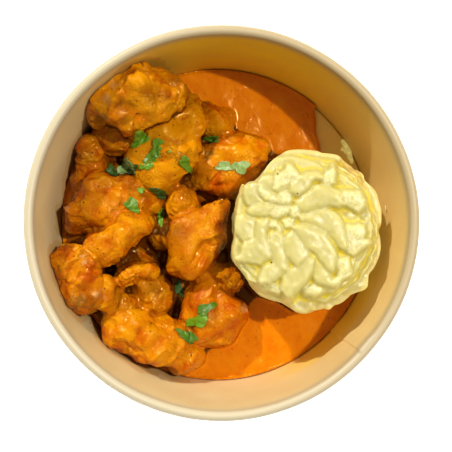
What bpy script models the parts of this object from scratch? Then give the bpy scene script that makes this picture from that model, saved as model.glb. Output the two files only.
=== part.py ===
"""Chicken curry with a piped swirl of mashed potato, served in a round paper bowl.

Sizes below are in millimetres and the meshes are in metres. The origin is the middle of the bowl's foot, on the
surface the bowl stands on, and +Z is up. +X points from the bowl's middle to the mashed potato.
"""

import bmesh
import bpy
import numpy as np

MM = 0.001

# Paper bowl: a coned wall with a rolled rim, folded in at the foot round the skirt of a pressed base.
RIM_DIAMETER = 150.0
FOOT_DIAMETER = 126.0
BOWL_HEIGHT = 60.0
PAPER = 0.5
CURL_RADIUS = 1.9
CURL_TURN = 270.0
FLOOR_TOP = 7.0
HEM_TOP = 5.8
SKIRT_END = 1.0
FOLD = 0.5
FIT_GAP = 0.3
CURL_STEPS = 10
BOWL_SEGMENTS = 36

# Sauce: a shallow pool that stops short of the right side of the floor and is heaped among the chicken.
SAUCE_DEPTH = 3.4
HEAP_DEPTH = 6.5
HEAP_MIDDLE = (-30.0, 0.0)
HEAP_REACH = (34.0, 50.0)
SAUCE_RINGS = (1.0, 0.8, 0.45)
SHORE_STEPS = 31
FILM = 1.5
WALL_GAP = 0.5
SHORE_FROM = 50.0
SHORE_TO = 336.0
SHORE = [(40.0, 45.0), (41.0, 38.0), (43.0, 31.0), (42.0, 18.0), (42.0, 4.0), (47.0, -12.0), (55.0, -24.0)]

# Food: how far a cut piece stays from the piece that lies on it, and how its skin bulges.
PIECE_GAP = 0.6
RINGS = 7
SIDES = 10
SQUARENESS = 2.5
BLUNTNESS = 4.0
LUMP_SIZE = 15.0
LUMP_HEIGHT = 1.3
WAVES = 9

# Chicken pieces from the top of the heap down: along each, x, y and z of its middle, half width, half thickness.
CHICKEN = {
    "chicken_back_left": [
        (-49, 38, 30, 5, 6), (-43, 47, 38, 11, 11), (-35, 49, 40, 14, 12), (-27, 50, 40, 11, 11),
        (-20, 53, 38, 8, 9), (-16, 55, 36, 4, 5),
    ],
    "chicken_leafed": [
        (-9, 52, 22, 4, 5), (-14, 43, 26, 8, 8), (-20, 33, 27, 13, 11), (-23, 23, 25, 12, 10),
        (-20, 16, 20, 7, 7), (-19, 11, 16, 3, 4),
    ],
    "chicken_forked": [
        (4, 9, 31, 2, 3), (-2, 3, 30, 5, 6), (-8, -5, 28, 10, 9), (-14, -14, 27, 8, 8), (-19, -20, 21, 4, 5),
    ],
    "chicken_long_left": [
        (-26, 1, 27, 4, 4), (-33, -1, 30, 5, 6), (-40, -5, 32, 6, 7), (-47, -11, 31, 7, 7), (-53, -17, 27, 5, 5),
    ],
    "chicken_pale_lobe": [(-47, -20, 29, 3, 4), (-45, -26, 30, 4, 5), (-44, -33, 24, 4, 5)],
    "chicken_wall_left": [
        (-61, -8, 29, 4, 5), (-59, -16, 33, 7, 7), (-55, -25, 32, 9, 8), (-50, -34, 23, 5, 6),
    ],
    "chicken_flat_left": [
        (-23, 6, 22, 4, 5), (-33, 10, 25, 6, 7), (-44, 11, 26, 10, 8), (-52, 5, 24, 8, 8), (-61, -3, 19, 5, 5),
    ],
    "chicken_small_ridge": [
        (-40, -26, 26, 3, 4), (-37, -21, 28, 3, 5), (-31, -18, 29, 3, 5), (-24, -20, 26, 3, 4),
    ],
    "chicken_crown": [
        (-21, 10, 24, 4, 4), (-16, 8, 25, 6, 7), (-11, 4, 24, 5, 6), (-8, -1, 21, 3, 4),
    ],
    "chicken_centre_right": [
        (-12, 16, 16, 4, 4), (-5, 19, 18, 8, 7), (5, 24, 19, 12, 9), (13, 29, 18, 10, 8), (20, 34, 15, 5, 5),
    ],
    "chicken_top_lobe": [(-5, 50, 16, 3, 4), (-2, 43, 18, 7, 6), (-1, 37, 17, 7, 5), (-2, 32, 15, 3, 4)],
    "chicken_back_under": [
        (-25, 46, 28, 4, 5), (-31, 41, 28, 6, 8), (-38, 36, 24, 8, 9), (-45, 31, 20, 6, 7), (-48, 26, 18, 3, 4),
    ],
    "chicken_small_back": [(-23, 47, 22, 4, 5), (-19, 50, 21, 4, 5), (-13, 54, 16, 4, 5)],
    "chicken_torn": [(-11, -17, 17, 3, 4), (-3, -19, 22, 4, 5), (3, -21, 23, 5, 6), (9, -24, 20, 4, 5)],
    "chicken_front_right": [
        (-12, -25, 17, 6, 5), (-6, -31, 19, 11, 8), (-1, -40, 18, 12, 9), (3, -50, 14, 6, 5),
    ],
    "chicken_front_left": [
        (-47, -38, 21, 5, 6), (-39, -41, 24, 8, 9), (-28, -46, 24, 9, 9), (-17, -50, 20, 9, 8),
        (-5, -56, 14, 5, 5),
    ],
    "chicken_saucy_left": [(-45, -29, 21, 4, 5), (-40, -32, 23, 5, 6), (-34, -35, 20, 5, 5)],
    "chicken_dark_left": [(-53, 36, 24, 4, 4), (-51, 29, 21, 6, 6), (-52, 21, 18, 7, 6), (-58, 7, 14, 4, 5)],
    "chicken_under_leaves": [(-43, 26, 18, 4, 4), (-40, 21, 19, 5, 5), (-35, 17, 18, 5, 5), (-28, 13, 15, 4, 4)],
    "chicken_under_crown": [(-16, 0, 20, 4, 4), (-21, -4, 19, 5, 6), (-25, -11, 16, 3, 4)],
    "chicken_dark_centre": [
        (-40, -8, 17, 5, 5), (-33, -15, 18, 7, 7), (-28, -26, 19, 8, 7), (-21, -36, 16, 6, 6),
    ],
}

# Mashed potato: stacked rolls of piping under a crown of petals that curl clockwise as they run out.
MASH_FOOT = (35.5, -2.8)
MASH_CROWN = (31.0, -1.2)
MASH_EYE = (25.4, -0.2)
MASH_WIDTH = 0.91
MASH_PETALS = 13
MASH_SIDES = 52
PETAL_DEPTH = 2.8
PETAL_CURL = 1.1
# Up the outside and over the top: radius, height above the floor, how strongly the petals show (0 to 1).
MASH_PROFILE = [
    (17.0, FIT_GAP, 0.0), (28.5, FIT_GAP, 0.0), (31.5, 3.0, 0.2), (32.5, 8.0, 0.3), (31.4, 12.0, 0.2),
    (32.8, 17.0, 0.35), (31.4, 22.5, 0.3), (32.0, 28.0, 0.5), (30.2, 32.5, 0.4), (30.2, 37.5, 0.8),
    (28.5, 41.6, 1.0), (24.5, 45.4, 1.0), (18.0, 47.0, 1.0), (11.5, 47.5, 0.8), (5.5, 47.1, 0.5),
]
MASH_TOP = 46.5


def wall_inside(height):
    """Radius of the wall's inner face: straight from the foot up to where the rim starts to curl."""
    foot = FOOT_DIAMETER / 2 - PAPER
    top = RIM_DIAMETER / 2 - 2 * CURL_RADIUS
    return foot + (top - foot) * height / (BOWL_HEIGHT - CURL_RADIUS)


def material(name, colour, roughness):
    made = bpy.data.materials.new(name)
    made.use_nodes = True
    shader = made.node_tree.nodes["Principled BSDF"]
    shader.inputs["Base Color"].default_value = (*colour, 1.0)
    shader.inputs["Roughness"].default_value = roughness
    shader.inputs["Metallic"].default_value = 0.0
    return made


def add_object(name, mesh, finish):
    mesh.materials.append(finish)
    mesh.shade_smooth()
    made = bpy.data.objects.new(name, mesh)
    bpy.context.scene.collection.objects.link(made)
    return made


def closed_skin(name, rings, first_pole, last_pole):
    """Mesh from rings of points (rings x sides x 3, in mm), each joined to the next, with a fan at either end."""
    count, sides, _ = rings.shape
    points = np.concatenate([rings.reshape(-1, 3), [first_pole, last_pole]]) * MM
    index = np.arange(count * sides).reshape(count, sides)
    ahead = np.roll(index, -1, axis=1)
    halves = [(index[:-1], ahead[:-1], ahead[1:]), (index[:-1], ahead[1:], index[1:])]
    skin = [np.stack(half, axis=-1).reshape(-1, 3) for half in halves]
    first = np.stack([ahead[0], index[0], np.full(sides, count * sides)], axis=-1)
    last = np.stack([index[-1], ahead[-1], np.full(sides, count * sides + 1)], axis=-1)
    mesh = bpy.data.meshes.new(name)
    mesh.from_pydata(points.tolist(), [], np.vstack([*skin, first, last]).tolist())
    return mesh


def turned(name, profile):
    """Mesh turned about Z from a closed outline of (radius, height) points."""
    made = bmesh.new()
    points = [made.verts.new((r * MM, 0.0, z * MM)) for r, z in profile]
    edges = [made.edges.new((a, b)) for a, b in zip(points, points[1:] + points[:1])]
    bmesh.ops.spin(
        made, geom=points + edges, cent=(0, 0, 0), axis=(0, 0, 1), angle=2 * np.pi,
        steps=BOWL_SEGMENTS, use_merge=True, use_duplicate=False,
    )
    bmesh.ops.remove_doubles(made, verts=made.verts, dist=0.01 * MM)
    bmesh.ops.dissolve_degenerate(made, edges=made.edges, dist=0.01 * MM)
    bmesh.ops.recalc_face_normals(made, faces=made.faces)
    mesh = bpy.data.meshes.new(name)
    made.to_mesh(mesh)
    made.free()
    return mesh


def sheet_outline(path):
    """Outline of a sheet of paper whose middle follows the path: one face out and the other back."""
    path = np.array(path, dtype=float)
    ahead = np.diff(path, axis=0)
    ahead /= np.linalg.norm(ahead, axis=1, keepdims=True)
    across = np.stack([-ahead[:, 1], ahead[:, 0]], axis=1)
    before = np.vstack([across[:1], across])
    after = np.vstack([across, across[-1:]])
    mitre = before + after
    mitre /= (mitre * after).sum(axis=1, keepdims=True)
    side = mitre * PAPER / 2
    return np.vstack([path + side, (path - side)[::-1]]).tolist()


def wall_mesh(name):
    """Wall, rolled rim and folded foot, cut from one sheet: hem up inside, fold on the table, wall, curl."""
    middle = PAPER / 2
    slot = 2 * FIT_GAP + 2 * PAPER
    curl = CURL_RADIUS - middle
    rim_x = RIM_DIAMETER / 2 - CURL_RADIUS
    rim_z = BOWL_HEIGHT - CURL_RADIUS
    wall_foot = wall_inside(0) + middle
    hem_foot = wall_foot - slot
    path = [
        (wall_inside(HEM_TOP) + middle - slot, HEM_TOP),
        (hem_foot + wall_inside(FOLD) - wall_inside(0), FOLD + middle),
        (hem_foot + FOLD, middle),
        (wall_foot - FOLD, middle),
    ]
    path += [(wall_inside(z) + middle, z) for z in (FOLD + middle, 20.0, 40.0)]
    turns = np.radians(np.linspace(180.0, 180.0 - CURL_TURN, CURL_STEPS))
    path += [(rim_x + curl * np.cos(a), rim_z + curl * np.sin(a)) for a in turns]
    return turned(name, sheet_outline(path))


def base_mesh(name):
    """Pressed base: a flat floor with a skirt that hangs into the fold of the wall."""
    outer = [(wall_inside(z) - FIT_GAP, z) for z in (FLOOR_TOP - PAPER, SKIRT_END)]
    inner = [(wall_inside(z) - FIT_GAP - PAPER, z) for z in (SKIRT_END, FLOOR_TOP - PAPER)]
    edge = outer[0][0] - PAPER / 2
    middle = [(0.0, FLOOR_TOP - PAPER), (0.0, FLOOR_TOP)]
    profile = middle + [(edge, FLOOR_TOP)] + outer + inner
    return turned(name, profile)


def room_mesh(name, floor):
    """The space that food may fill: a cone that stops just short of the wall, from a floor up past the rim."""
    levels = (floor, 2 * BOWL_HEIGHT)
    return turned(name, [(0.0, z) for z in levels[::-1]] + [(wall_inside(z) - WALL_GAP, z) for z in levels])


def lumps(points, size, seed):
    """Smooth value of about -1 to 1 in space: sine waves `size` long, in seeded directions, added up."""
    seeded = np.random.default_rng(seed)
    directions = seeded.normal(size=(3, WAVES))
    directions /= np.linalg.norm(directions, axis=0)
    phases = seeded.uniform(0, 2 * np.pi, WAVES)
    return np.sin(points @ directions * 2 * np.pi / size + phases).sum(axis=-1) / np.sqrt(WAVES)


def along(knots, steps):
    """Catmull-Rom curve through the knots, read at the steps from 0 to 1, for all their columns at once."""
    knots = np.array(knots, dtype=float)
    ends = np.vstack([2 * knots[0] - knots[1], knots, 2 * knots[-1] - knots[-2]])
    place = steps * (len(knots) - 1)
    at = np.minimum(place.astype(int), len(knots) - 2)
    t = (place - at)[:, None]
    a, b, c, d = (ends[at + k] for k in range(4))
    return 0.5 * (2 * b + (c - a) * t + (2 * a - 5 * b + 4 * c - d) * t**2 + (3 * b - a - 3 * c + d) * t**3)


def chicken_mesh(name, knots, seed):
    """Rounded, lumpy sweep: squarish ovals across the curve through the knots, closing at both ends."""
    steps = (1 - np.cos(np.linspace(0, np.pi, RINGS + 2))) / 2
    rows = along(knots, steps)
    middle = rows[:, :3]
    close = (1 - np.abs(2 * steps - 1) ** BLUNTNESS) ** 0.5
    ahead = np.gradient(middle, axis=0)
    ahead /= np.linalg.norm(ahead, axis=1, keepdims=True)
    side = np.cross((0.0, 0.0, 1.0), ahead)
    side /= np.linalg.norm(side, axis=1, keepdims=True)
    up = np.cross(ahead, side)
    angles = np.linspace(0, 2 * np.pi, SIDES, endpoint=False)
    wide = np.sign(np.cos(angles)) * np.abs(np.cos(angles)) ** (2 / SQUARENESS)
    high = np.sign(np.sin(angles)) * np.abs(np.sin(angles)) ** (2 / SQUARENESS)
    out = side[:, None] * (rows[:, 3] * close)[:, None, None] * wide[:, None]
    out = out + up[:, None] * (rows[:, 4] * close)[:, None, None] * high[:, None]
    skin = middle[:, None] + out
    length = np.linalg.norm(out, axis=-1, keepdims=True)
    bulge = LUMP_HEIGHT * lumps(skin, LUMP_SIZE, seed) * close[:, None]
    skin = skin + out / np.maximum(length, 0.1) * bulge[..., None]
    return closed_skin(name, skin[1:-1], skin[0, 0], skin[-1, 0])


def mash_centre(height):
    """The swirl leans: its middle moves from the foot to the crown, then to the eye at the very top."""
    levels = (0.0, MASH_PROFILE[-5][1], MASH_TOP)
    across = np.interp(height, levels, (MASH_FOOT[0], MASH_CROWN[0], MASH_EYE[0]))
    along_y = np.interp(height, levels, (MASH_FOOT[1], MASH_CROWN[1], MASH_EYE[1]))
    return np.stack([across, along_y], axis=-1)


def mash_mesh(name):
    """Rings of the profile in plan, an oval each, with petals as a wave that turns as the radius grows."""
    radius, height, show = np.array(MASH_PROFILE).T[:, :, None]
    angles = np.linspace(0, 2 * np.pi, MASH_SIDES, endpoint=False)[None]
    turn = PETAL_CURL * radius / radius.max()
    wave = np.abs(np.sin(MASH_PETALS * (angles + turn) / 2)) - 0.6
    centre = mash_centre(height)
    reach = radius + PETAL_DEPTH * show * wave
    skin = np.stack(
        [
            centre[..., 0] + MASH_WIDTH * reach * np.cos(angles),
            centre[..., 1] + reach * np.sin(angles),
            FLOOR_TOP + height + PETAL_DEPTH * show * wave * (height > MASH_PROFILE[-5][1]),
        ],
        axis=-1,
    )
    foot = (*MASH_FOOT, FLOOR_TOP + FIT_GAP)
    return closed_skin(name, skin, foot, (*MASH_EYE, FLOOR_TOP + MASH_TOP))


def sauce_outline(level):
    """The pool in plan: round by the wall, then back along the shoreline."""
    turn = np.radians(np.linspace(SHORE_FROM, SHORE_TO, SHORE_STEPS))
    reach = wall_inside(level) - WALL_GAP
    by_wall = np.stack([np.cos(turn), np.sin(turn)], axis=1) * reach
    return np.vstack([by_wall, np.array(SHORE)[::-1]])


def sauce_level(plan):
    """Height of the sauce: level at the edge, with a low mound under the heap of chicken."""
    across = (plan - np.array(HEAP_MIDDLE)) / np.array(HEAP_REACH)
    return FLOOR_TOP + SAUCE_DEPTH + HEAP_DEPTH * np.maximum(0.0, 1 - (across**2).sum(axis=-1))


def sauce_mesh(name):
    """Flat below; above, rings of the pool's outline shrunk towards the heap, at the sauce's own level."""
    low = FLOOR_TOP + FIT_GAP
    middle = np.array(HEAP_MIDDLE)
    rings = [np.column_stack([sauce_outline(low), np.full(SHORE_STEPS + len(SHORE), low)])]
    outline = sauce_outline(FLOOR_TOP + SAUCE_DEPTH)
    for part in SAUCE_RINGS:
        plan = middle + part * (outline - middle)
        rings.append(np.column_stack([plan, sauce_level(plan)]))
    return closed_skin(name, np.array(rings), (*middle, low), (*middle, sauce_level(middle)))


def hidden(cutter):
    cutter.hide_render = True
    cutter.display_type = "WIRE"
    return cutter


def cutter_of(made):
    """Hidden copy of a piece, blown up by the gap, that cuts what lies under or around the piece."""
    cutter = bpy.data.objects.new("cut_" + made.name, made.data)
    grow = cutter.modifiers.new("gap", "DISPLACE")
    grow.strength = PIECE_GAP * MM
    grow.mid_level = 0.0
    bpy.context.scene.collection.objects.link(cutter)
    return hidden(cutter)


def cut(made, cutter, operation="DIFFERENCE"):
    boolean = made.modifiers.new("cut", "BOOLEAN")
    boolean.operation = operation
    boolean.solver = "EXACT"
    boolean.object = cutter


def boxes_meet(one, other):
    """Whether the boxes round two pieces come within the gap of each other."""
    low, high, other_low, other_high = (
        pick(np.array([corner[:] for corner in made.bound_box]), axis=0)
        for made in (one, other)
        for pick in (np.min, np.max)
    )
    gap = PIECE_GAP * MM
    return bool(np.all(low < other_high + gap) and np.all(other_low < high + gap))


def build():
    for old in list(bpy.data.objects):
        bpy.data.objects.remove(old)

    kraft = material("kraft_paper", (0.66, 0.45, 0.24), 0.6)
    gravy = material("curry_sauce", (0.62, 0.17, 0.01), 0.25)
    meat = material("sauced_chicken", (0.66, 0.25, 0.01), 0.3)
    potato = material("mashed_potato", (0.84, 0.72, 0.28), 0.45)

    add_object("bowl_wall", wall_mesh("bowl_wall"), kraft)
    add_object("bowl_base", base_mesh("bowl_base"), kraft)
    rooms = {}
    for name, lift in (("room_mash", FIT_GAP), ("room_chicken", FILM)):
        rooms[name] = hidden(add_object(name, room_mesh(name, FLOOR_TOP + lift), kraft))

    mash = add_object("mashed_potato", mash_mesh("mashed_potato"), potato)
    cut(mash, rooms["room_mash"], "INTERSECT")
    above = [(mash, cutter_of(mash))]
    for seed, (name, knots) in enumerate(CHICKEN.items()):
        piece = add_object(name, chicken_mesh(name, knots, seed), meat)
        cut(piece, rooms["room_chicken"], "INTERSECT")
        for upper, cutter in above:
            if boxes_meet(piece, upper):
                cut(piece, cutter)
        above.append((piece, cutter_of(piece)))

    sauce = add_object("curry_sauce", sauce_mesh("curry_sauce"), gravy)
    for upper, cutter in above:
        if boxes_meet(sauce, upper):
            cut(sauce, cutter)


build()
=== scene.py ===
"""Looks of a chicken curry with a piped swirl of mashed potato, in a round kraft paper bowl.

Lengths below are in millimetres and the meshes are in metres. The origin is the middle of the bowl's foot,
+Z is up, and +X points from the bowl's middle to the mashed potato.
"""

import bpy
import numpy as np
from mathutils import Matrix, Vector


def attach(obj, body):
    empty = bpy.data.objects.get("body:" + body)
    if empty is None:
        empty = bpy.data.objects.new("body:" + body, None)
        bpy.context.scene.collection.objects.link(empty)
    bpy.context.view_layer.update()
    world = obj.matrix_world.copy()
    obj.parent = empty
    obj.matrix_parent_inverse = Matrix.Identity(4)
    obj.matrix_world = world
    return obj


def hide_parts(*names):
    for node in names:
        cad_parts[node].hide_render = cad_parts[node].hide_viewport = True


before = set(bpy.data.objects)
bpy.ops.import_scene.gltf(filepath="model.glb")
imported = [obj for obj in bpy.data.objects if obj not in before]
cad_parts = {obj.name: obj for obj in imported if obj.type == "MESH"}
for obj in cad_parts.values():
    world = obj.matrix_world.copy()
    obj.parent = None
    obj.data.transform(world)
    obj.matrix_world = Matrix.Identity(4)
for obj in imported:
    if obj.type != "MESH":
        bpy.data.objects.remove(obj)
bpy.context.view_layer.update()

MM = 0.001
WAVES = 9

# Bowl: the same sheet of paper as the solid's, in finer steps.
RIM_DIAMETER = 150.0
FOOT_DIAMETER = 126.0
BOWL_HEIGHT = 60.0
PAPER = 0.5
CURL_RADIUS = 1.9
CURL_TURN = 270.0
FLOOR_TOP = 7.0
HEM_TOP = 5.8
SKIRT_END = 1.0
FOLD = 0.5
FIT_GAP = 0.3
WALL_GAP = 0.5
SEAM_AT = -43.4
SEAM_LAP = 8.0
SEAM_STEP = 0.4
SEAM_EDGE = [0.0, 0.12, 0.25, 0.4]
WALL_ROWS = 60
CURL_ROWS = 28
BOWL_STEPS = 280
CREASE_ANGLE = 50.0
# Painted light on the wall, by direction and half span in degrees: orange bounce light, and a sunlit tint.
BOUNCE_LIT_BACK = (82.0, 66.0)
BOUNCE_LIT_FRONT = (-38.0, 40.0)
SUNLIT_SIDE = (30.0, 130.0)

# Sauce: its level, where it stops on the floor, and how it rises among the chicken.
SAUCE_LEVEL = 10.4
SHORE = [
    (50.0, 62.6), (47.0, 60.0), (42.9, 56.0), (35.8, 53.0), (23.2, 45.7), (5.4, 42.2), (-14.3, 48.5),
    (-19.0, 55.0), (-24.0, 62.6),
]
HEAP_DEPTH = 7.5
HEAP_MIDDLE = (-32.0, 0.0)
HEAP_REACH = (30.0, 48.0)
FILLET = 1.7
GAP_HALF = 4.8
CREST_REACH = 12.0
CELL = 0.4
HALF_SPAN = 68.0
MOST_SHIFT = 16
SAUCE_STEPS = 296
SAUCE_EDGE = 2.2
WALL_CLIMB = 1.5
MASH_CLIMB = 2.5
STAIN_RISE = 1.6
# Depths below the food around over which narrow gaps and wide dips take painted shade.
NARROW_GAP = (1.2, 8.0)
WIDE_DIP = (8.0, 26.0)

# Chicken pieces from the top of the heap down: along each, x, y and z of its middle, half its width and half
# its thickness.
RINGS = 110
SIDES = 112
SQUARENESS = 2.5
BLUNTNESS = 4.0
CHICKEN = {
    "chicken_back_left": [
        (-49, 38, 30, 5, 6), (-43, 47, 38, 11, 11), (-35, 49, 40, 14, 12), (-27, 50, 40, 11, 11),
        (-20, 53, 38, 8, 9), (-16, 55, 36, 4, 5),
    ],
    "chicken_leafed": [
        (-9, 52, 22, 4, 5), (-14, 43, 26, 8, 8), (-20, 33, 27, 13, 11), (-23, 23, 25, 12, 10),
        (-20, 16, 20, 7, 7), (-19, 11, 16, 3, 4),
    ],
    "chicken_forked": [
        (4, 9, 31, 2, 3), (-2, 3, 30, 5, 6), (-8, -5, 28, 10, 9), (-14, -14, 27, 8, 8), (-19, -20, 21, 4, 5),
    ],
    "chicken_long_left": [
        (-26, 1, 27, 4, 4), (-33, -1, 30, 5, 6), (-40, -5, 32, 6, 7), (-47, -11, 31, 7, 7),
        (-53, -17, 27, 5, 5),
    ],
    "chicken_pale_lobe": [(-47, -20, 29, 3, 4), (-45, -26, 30, 4, 5), (-44, -33, 24, 4, 5)],
    "chicken_wall_left": [
        (-61, -8, 29, 4, 5), (-59, -16, 33, 7, 7), (-55, -25, 32, 9, 8), (-50, -34, 23, 5, 6),
    ],
    "chicken_flat_left": [
        (-23, 6, 22, 4, 5), (-33, 10, 25, 6, 7), (-44, 11, 26, 10, 8), (-52, 5, 24, 8, 8), (-61, -3, 19, 5, 5),
    ],
    "chicken_small_ridge": [
        (-40, -26, 26, 3, 4), (-37, -21, 28, 3, 5), (-31, -18, 29, 3, 5), (-24, -20, 26, 3, 4),
    ],
    "chicken_crown": [
        (-21, 10, 24, 4, 4), (-16, 8, 25, 6, 7), (-11, 4, 24, 5, 6), (-8, -1, 21, 3, 4),
    ],
    "chicken_centre_right": [
        (-12, 16, 16, 4, 4), (-5, 19, 18, 8, 7), (5, 24, 19, 12, 9), (13, 29, 18, 10, 8), (20, 34, 15, 5, 5),
    ],
    "chicken_top_lobe": [(-5, 50, 16, 3, 4), (-2, 43, 18, 7, 6), (-1, 37, 17, 7, 5), (-2, 32, 15, 3, 4)],
    "chicken_back_under": [
        (-25, 46, 28, 4, 5), (-31, 41, 28, 6, 8), (-38, 36, 24, 8, 9), (-45, 31, 20, 6, 7), (-48, 26, 18, 3, 4),
    ],
    "chicken_small_back": [(-23, 47, 22, 4, 5), (-19, 50, 21, 4, 5), (-13, 54, 16, 4, 5)],
    "chicken_torn": [(-11, -17, 17, 3, 4), (-3, -19, 22, 4, 5), (3, -21, 23, 5, 6), (9, -24, 20, 4, 5)],
    "chicken_front_right": [
        (-12, -25, 17, 6, 5), (-6, -31, 19, 11, 8), (-1, -40, 18, 12, 9), (3, -50, 14, 6, 5),
    ],
    "chicken_front_left": [
        (-47, -38, 21, 5, 6), (-39, -41, 24, 8, 9), (-28, -46, 24, 9, 9), (-17, -50, 20, 9, 8),
        (-5, -56, 14, 5, 5),
    ],
    "chicken_saucy_left": [(-45, -29, 21, 4, 5), (-40, -32, 23, 5, 6), (-34, -35, 20, 5, 5)],
    "chicken_dark_left": [(-53, 36, 24, 4, 4), (-51, 29, 21, 6, 6), (-52, 21, 18, 7, 6), (-58, 7, 14, 4, 5)],
    "chicken_under_leaves": [
        (-43, 26, 18, 4, 4), (-40, 21, 19, 5, 5), (-35, 17, 18, 5, 5), (-28, 13, 15, 4, 4),
    ],
    "chicken_under_crown": [(-16, 0, 20, 4, 4), (-21, -4, 19, 5, 6), (-25, -11, 16, 3, 4)],
    "chicken_dark_centre": [
        (-40, -8, 17, 5, 5), (-33, -15, 18, 7, 7), (-28, -26, 19, 8, 7), (-21, -36, 16, 6, 6),
    ],
}
# Lumps on a piece of chicken: how wide and how high, from the broad ones to the grain.
MEAT_LUMPS = [(15.0, 1.3), (4.6, 0.65), (2.4, 0.42), (1.4, 0.2)]
# Low ridges, and fibres drawn out along a piece: their sizes, heights and how far they are drawn.
RIDGE_SIZE = 16.0
RIDGE_WIDTH = 0.3
RIDGE_HEIGHT = 1.2
FIBRE_SIZE = 2.3
FIBRE_DRAW = 0.85
FIBRE_HEIGHT = 0.3
# How craggy some of the pieces are; the others are mostly smooth.
HARDLY_CRAGGY = 0.35
CRAGGY = {
    "chicken_back_left": 1.0, "chicken_wall_left": 1.0, "chicken_torn": 1.0, "chicken_small_ridge": 0.8,
    "chicken_centre_right": 0.6, "chicken_saucy_left": 0.8, "chicken_dark_centre": 0.7,
}
# Coat of some pieces against the rest: below 0 deeper and redder, above 0 brighter, yellower; partly painted
# shade and light.
PIECE_TONE = {
    "chicken_back_left": 0.12, "chicken_leafed": 0.3, "chicken_wall_left": -0.15, "chicken_front_right": -0.3,
    "chicken_flat_left": -0.15, "chicken_forked": -0.15, "chicken_centre_right": -0.1,
    "chicken_dark_left": -0.25, "chicken_back_under": -0.2, "chicken_small_back": -0.2,
}
CREASE_SIZE = 14.0
CREASE_WIDTH = 0.12
CREASE_DEPTH = 1.1
MEAT_OFF_FLOOR = 1.5
# Soft spots seen from above, x, y and radius: painted shade added, painted shade lifted, browned meat and bare
# meat.
PAINTED_SHADE_SPOTS = [
    (-13.2, 12.2, 4.0), (-25.2, -28.0, 4.5), (-22.4, 48.9, 4.5), (-53.5, 27.8, 5.0), (-38.7, 44.5, 4.5),
    (-16.8, -2.5, 3.0), (-37.5, -30.4, 4.0), (-29.6, 11.0, 3.5), (-17.2, 54.1, 4.0), (-35.1, 17.0, 3.5),
    (-36.7, 39.4, 3.5), (-26.8, 47.3, 4.0), (-50.7, -28.8, 3.5), (-3.6, -36.4, 3.5),
]
SHADE_LIFTED_SPOTS = [
    (-3.2, 12.2, 4.0), (0.0, 15.8, 4.0), (11.9, 19.4, 5.0), (6.0, 17.0, 4.0), (1.0, -3.0, 4.0),
    (-51.5, -1.7, 5.0), (-55.5, -4.1, 5.0), (-49.1, -42.4, 6.0), (-40.0, -50.0, 6.0), (-29.6, -57.6, 6.0),
    (-0.4, -17.7, 4.0), (-24.0, 4.3, 4.0), (-12.8, -25.3, 4.0),
]
BROWNED = [(-56, -31, 6.0), (-50, -35, 5.0), (-47, 40, 5.0), (-16, 25, 4.0), (-4, 28, 4.0), (6, 12, 3.5)]
BARE = [(-44, 47, 3.0), (-41, 53, 2.5), (-47, -28, 3.5), (-53, -14, 3.0), (-61, 6, 2.5), (10, -34, 2.5)]

# Mashed potato: the eye that its petals turn round.
MASH_EYE = (25.2, -0.1)
MASH_VOXEL = 0.5
CORE_SIDES = 180
ROPE_STEPS = 170
ROPE_SIDES = 56
ROPE_START = 2.0
HOLLOW_ROUNDS = 110
CROWN_ROUNDS = 9
BODY_ROUNDS = 2
CROWN_STEPS = 250
CROWN_LEVEL = 40.0
CROWN_FOOT = 28.5
# Low dome round the eye: its top, how far it falls over a distance, and where it ends.
DOME_TOP = 52.9
DOME_FALL = 2.2
DOME_FALL_OVER = 22.0
DOME_REACH = 26.0
# Edges of the terraces and of the petals: width of the rounding, drop past it, and width of the drop.
TIER_EDGE = (2.4, 4.5, 0.8)
PETAL_EDGE = (2.6, 3.2, 1.0)
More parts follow.
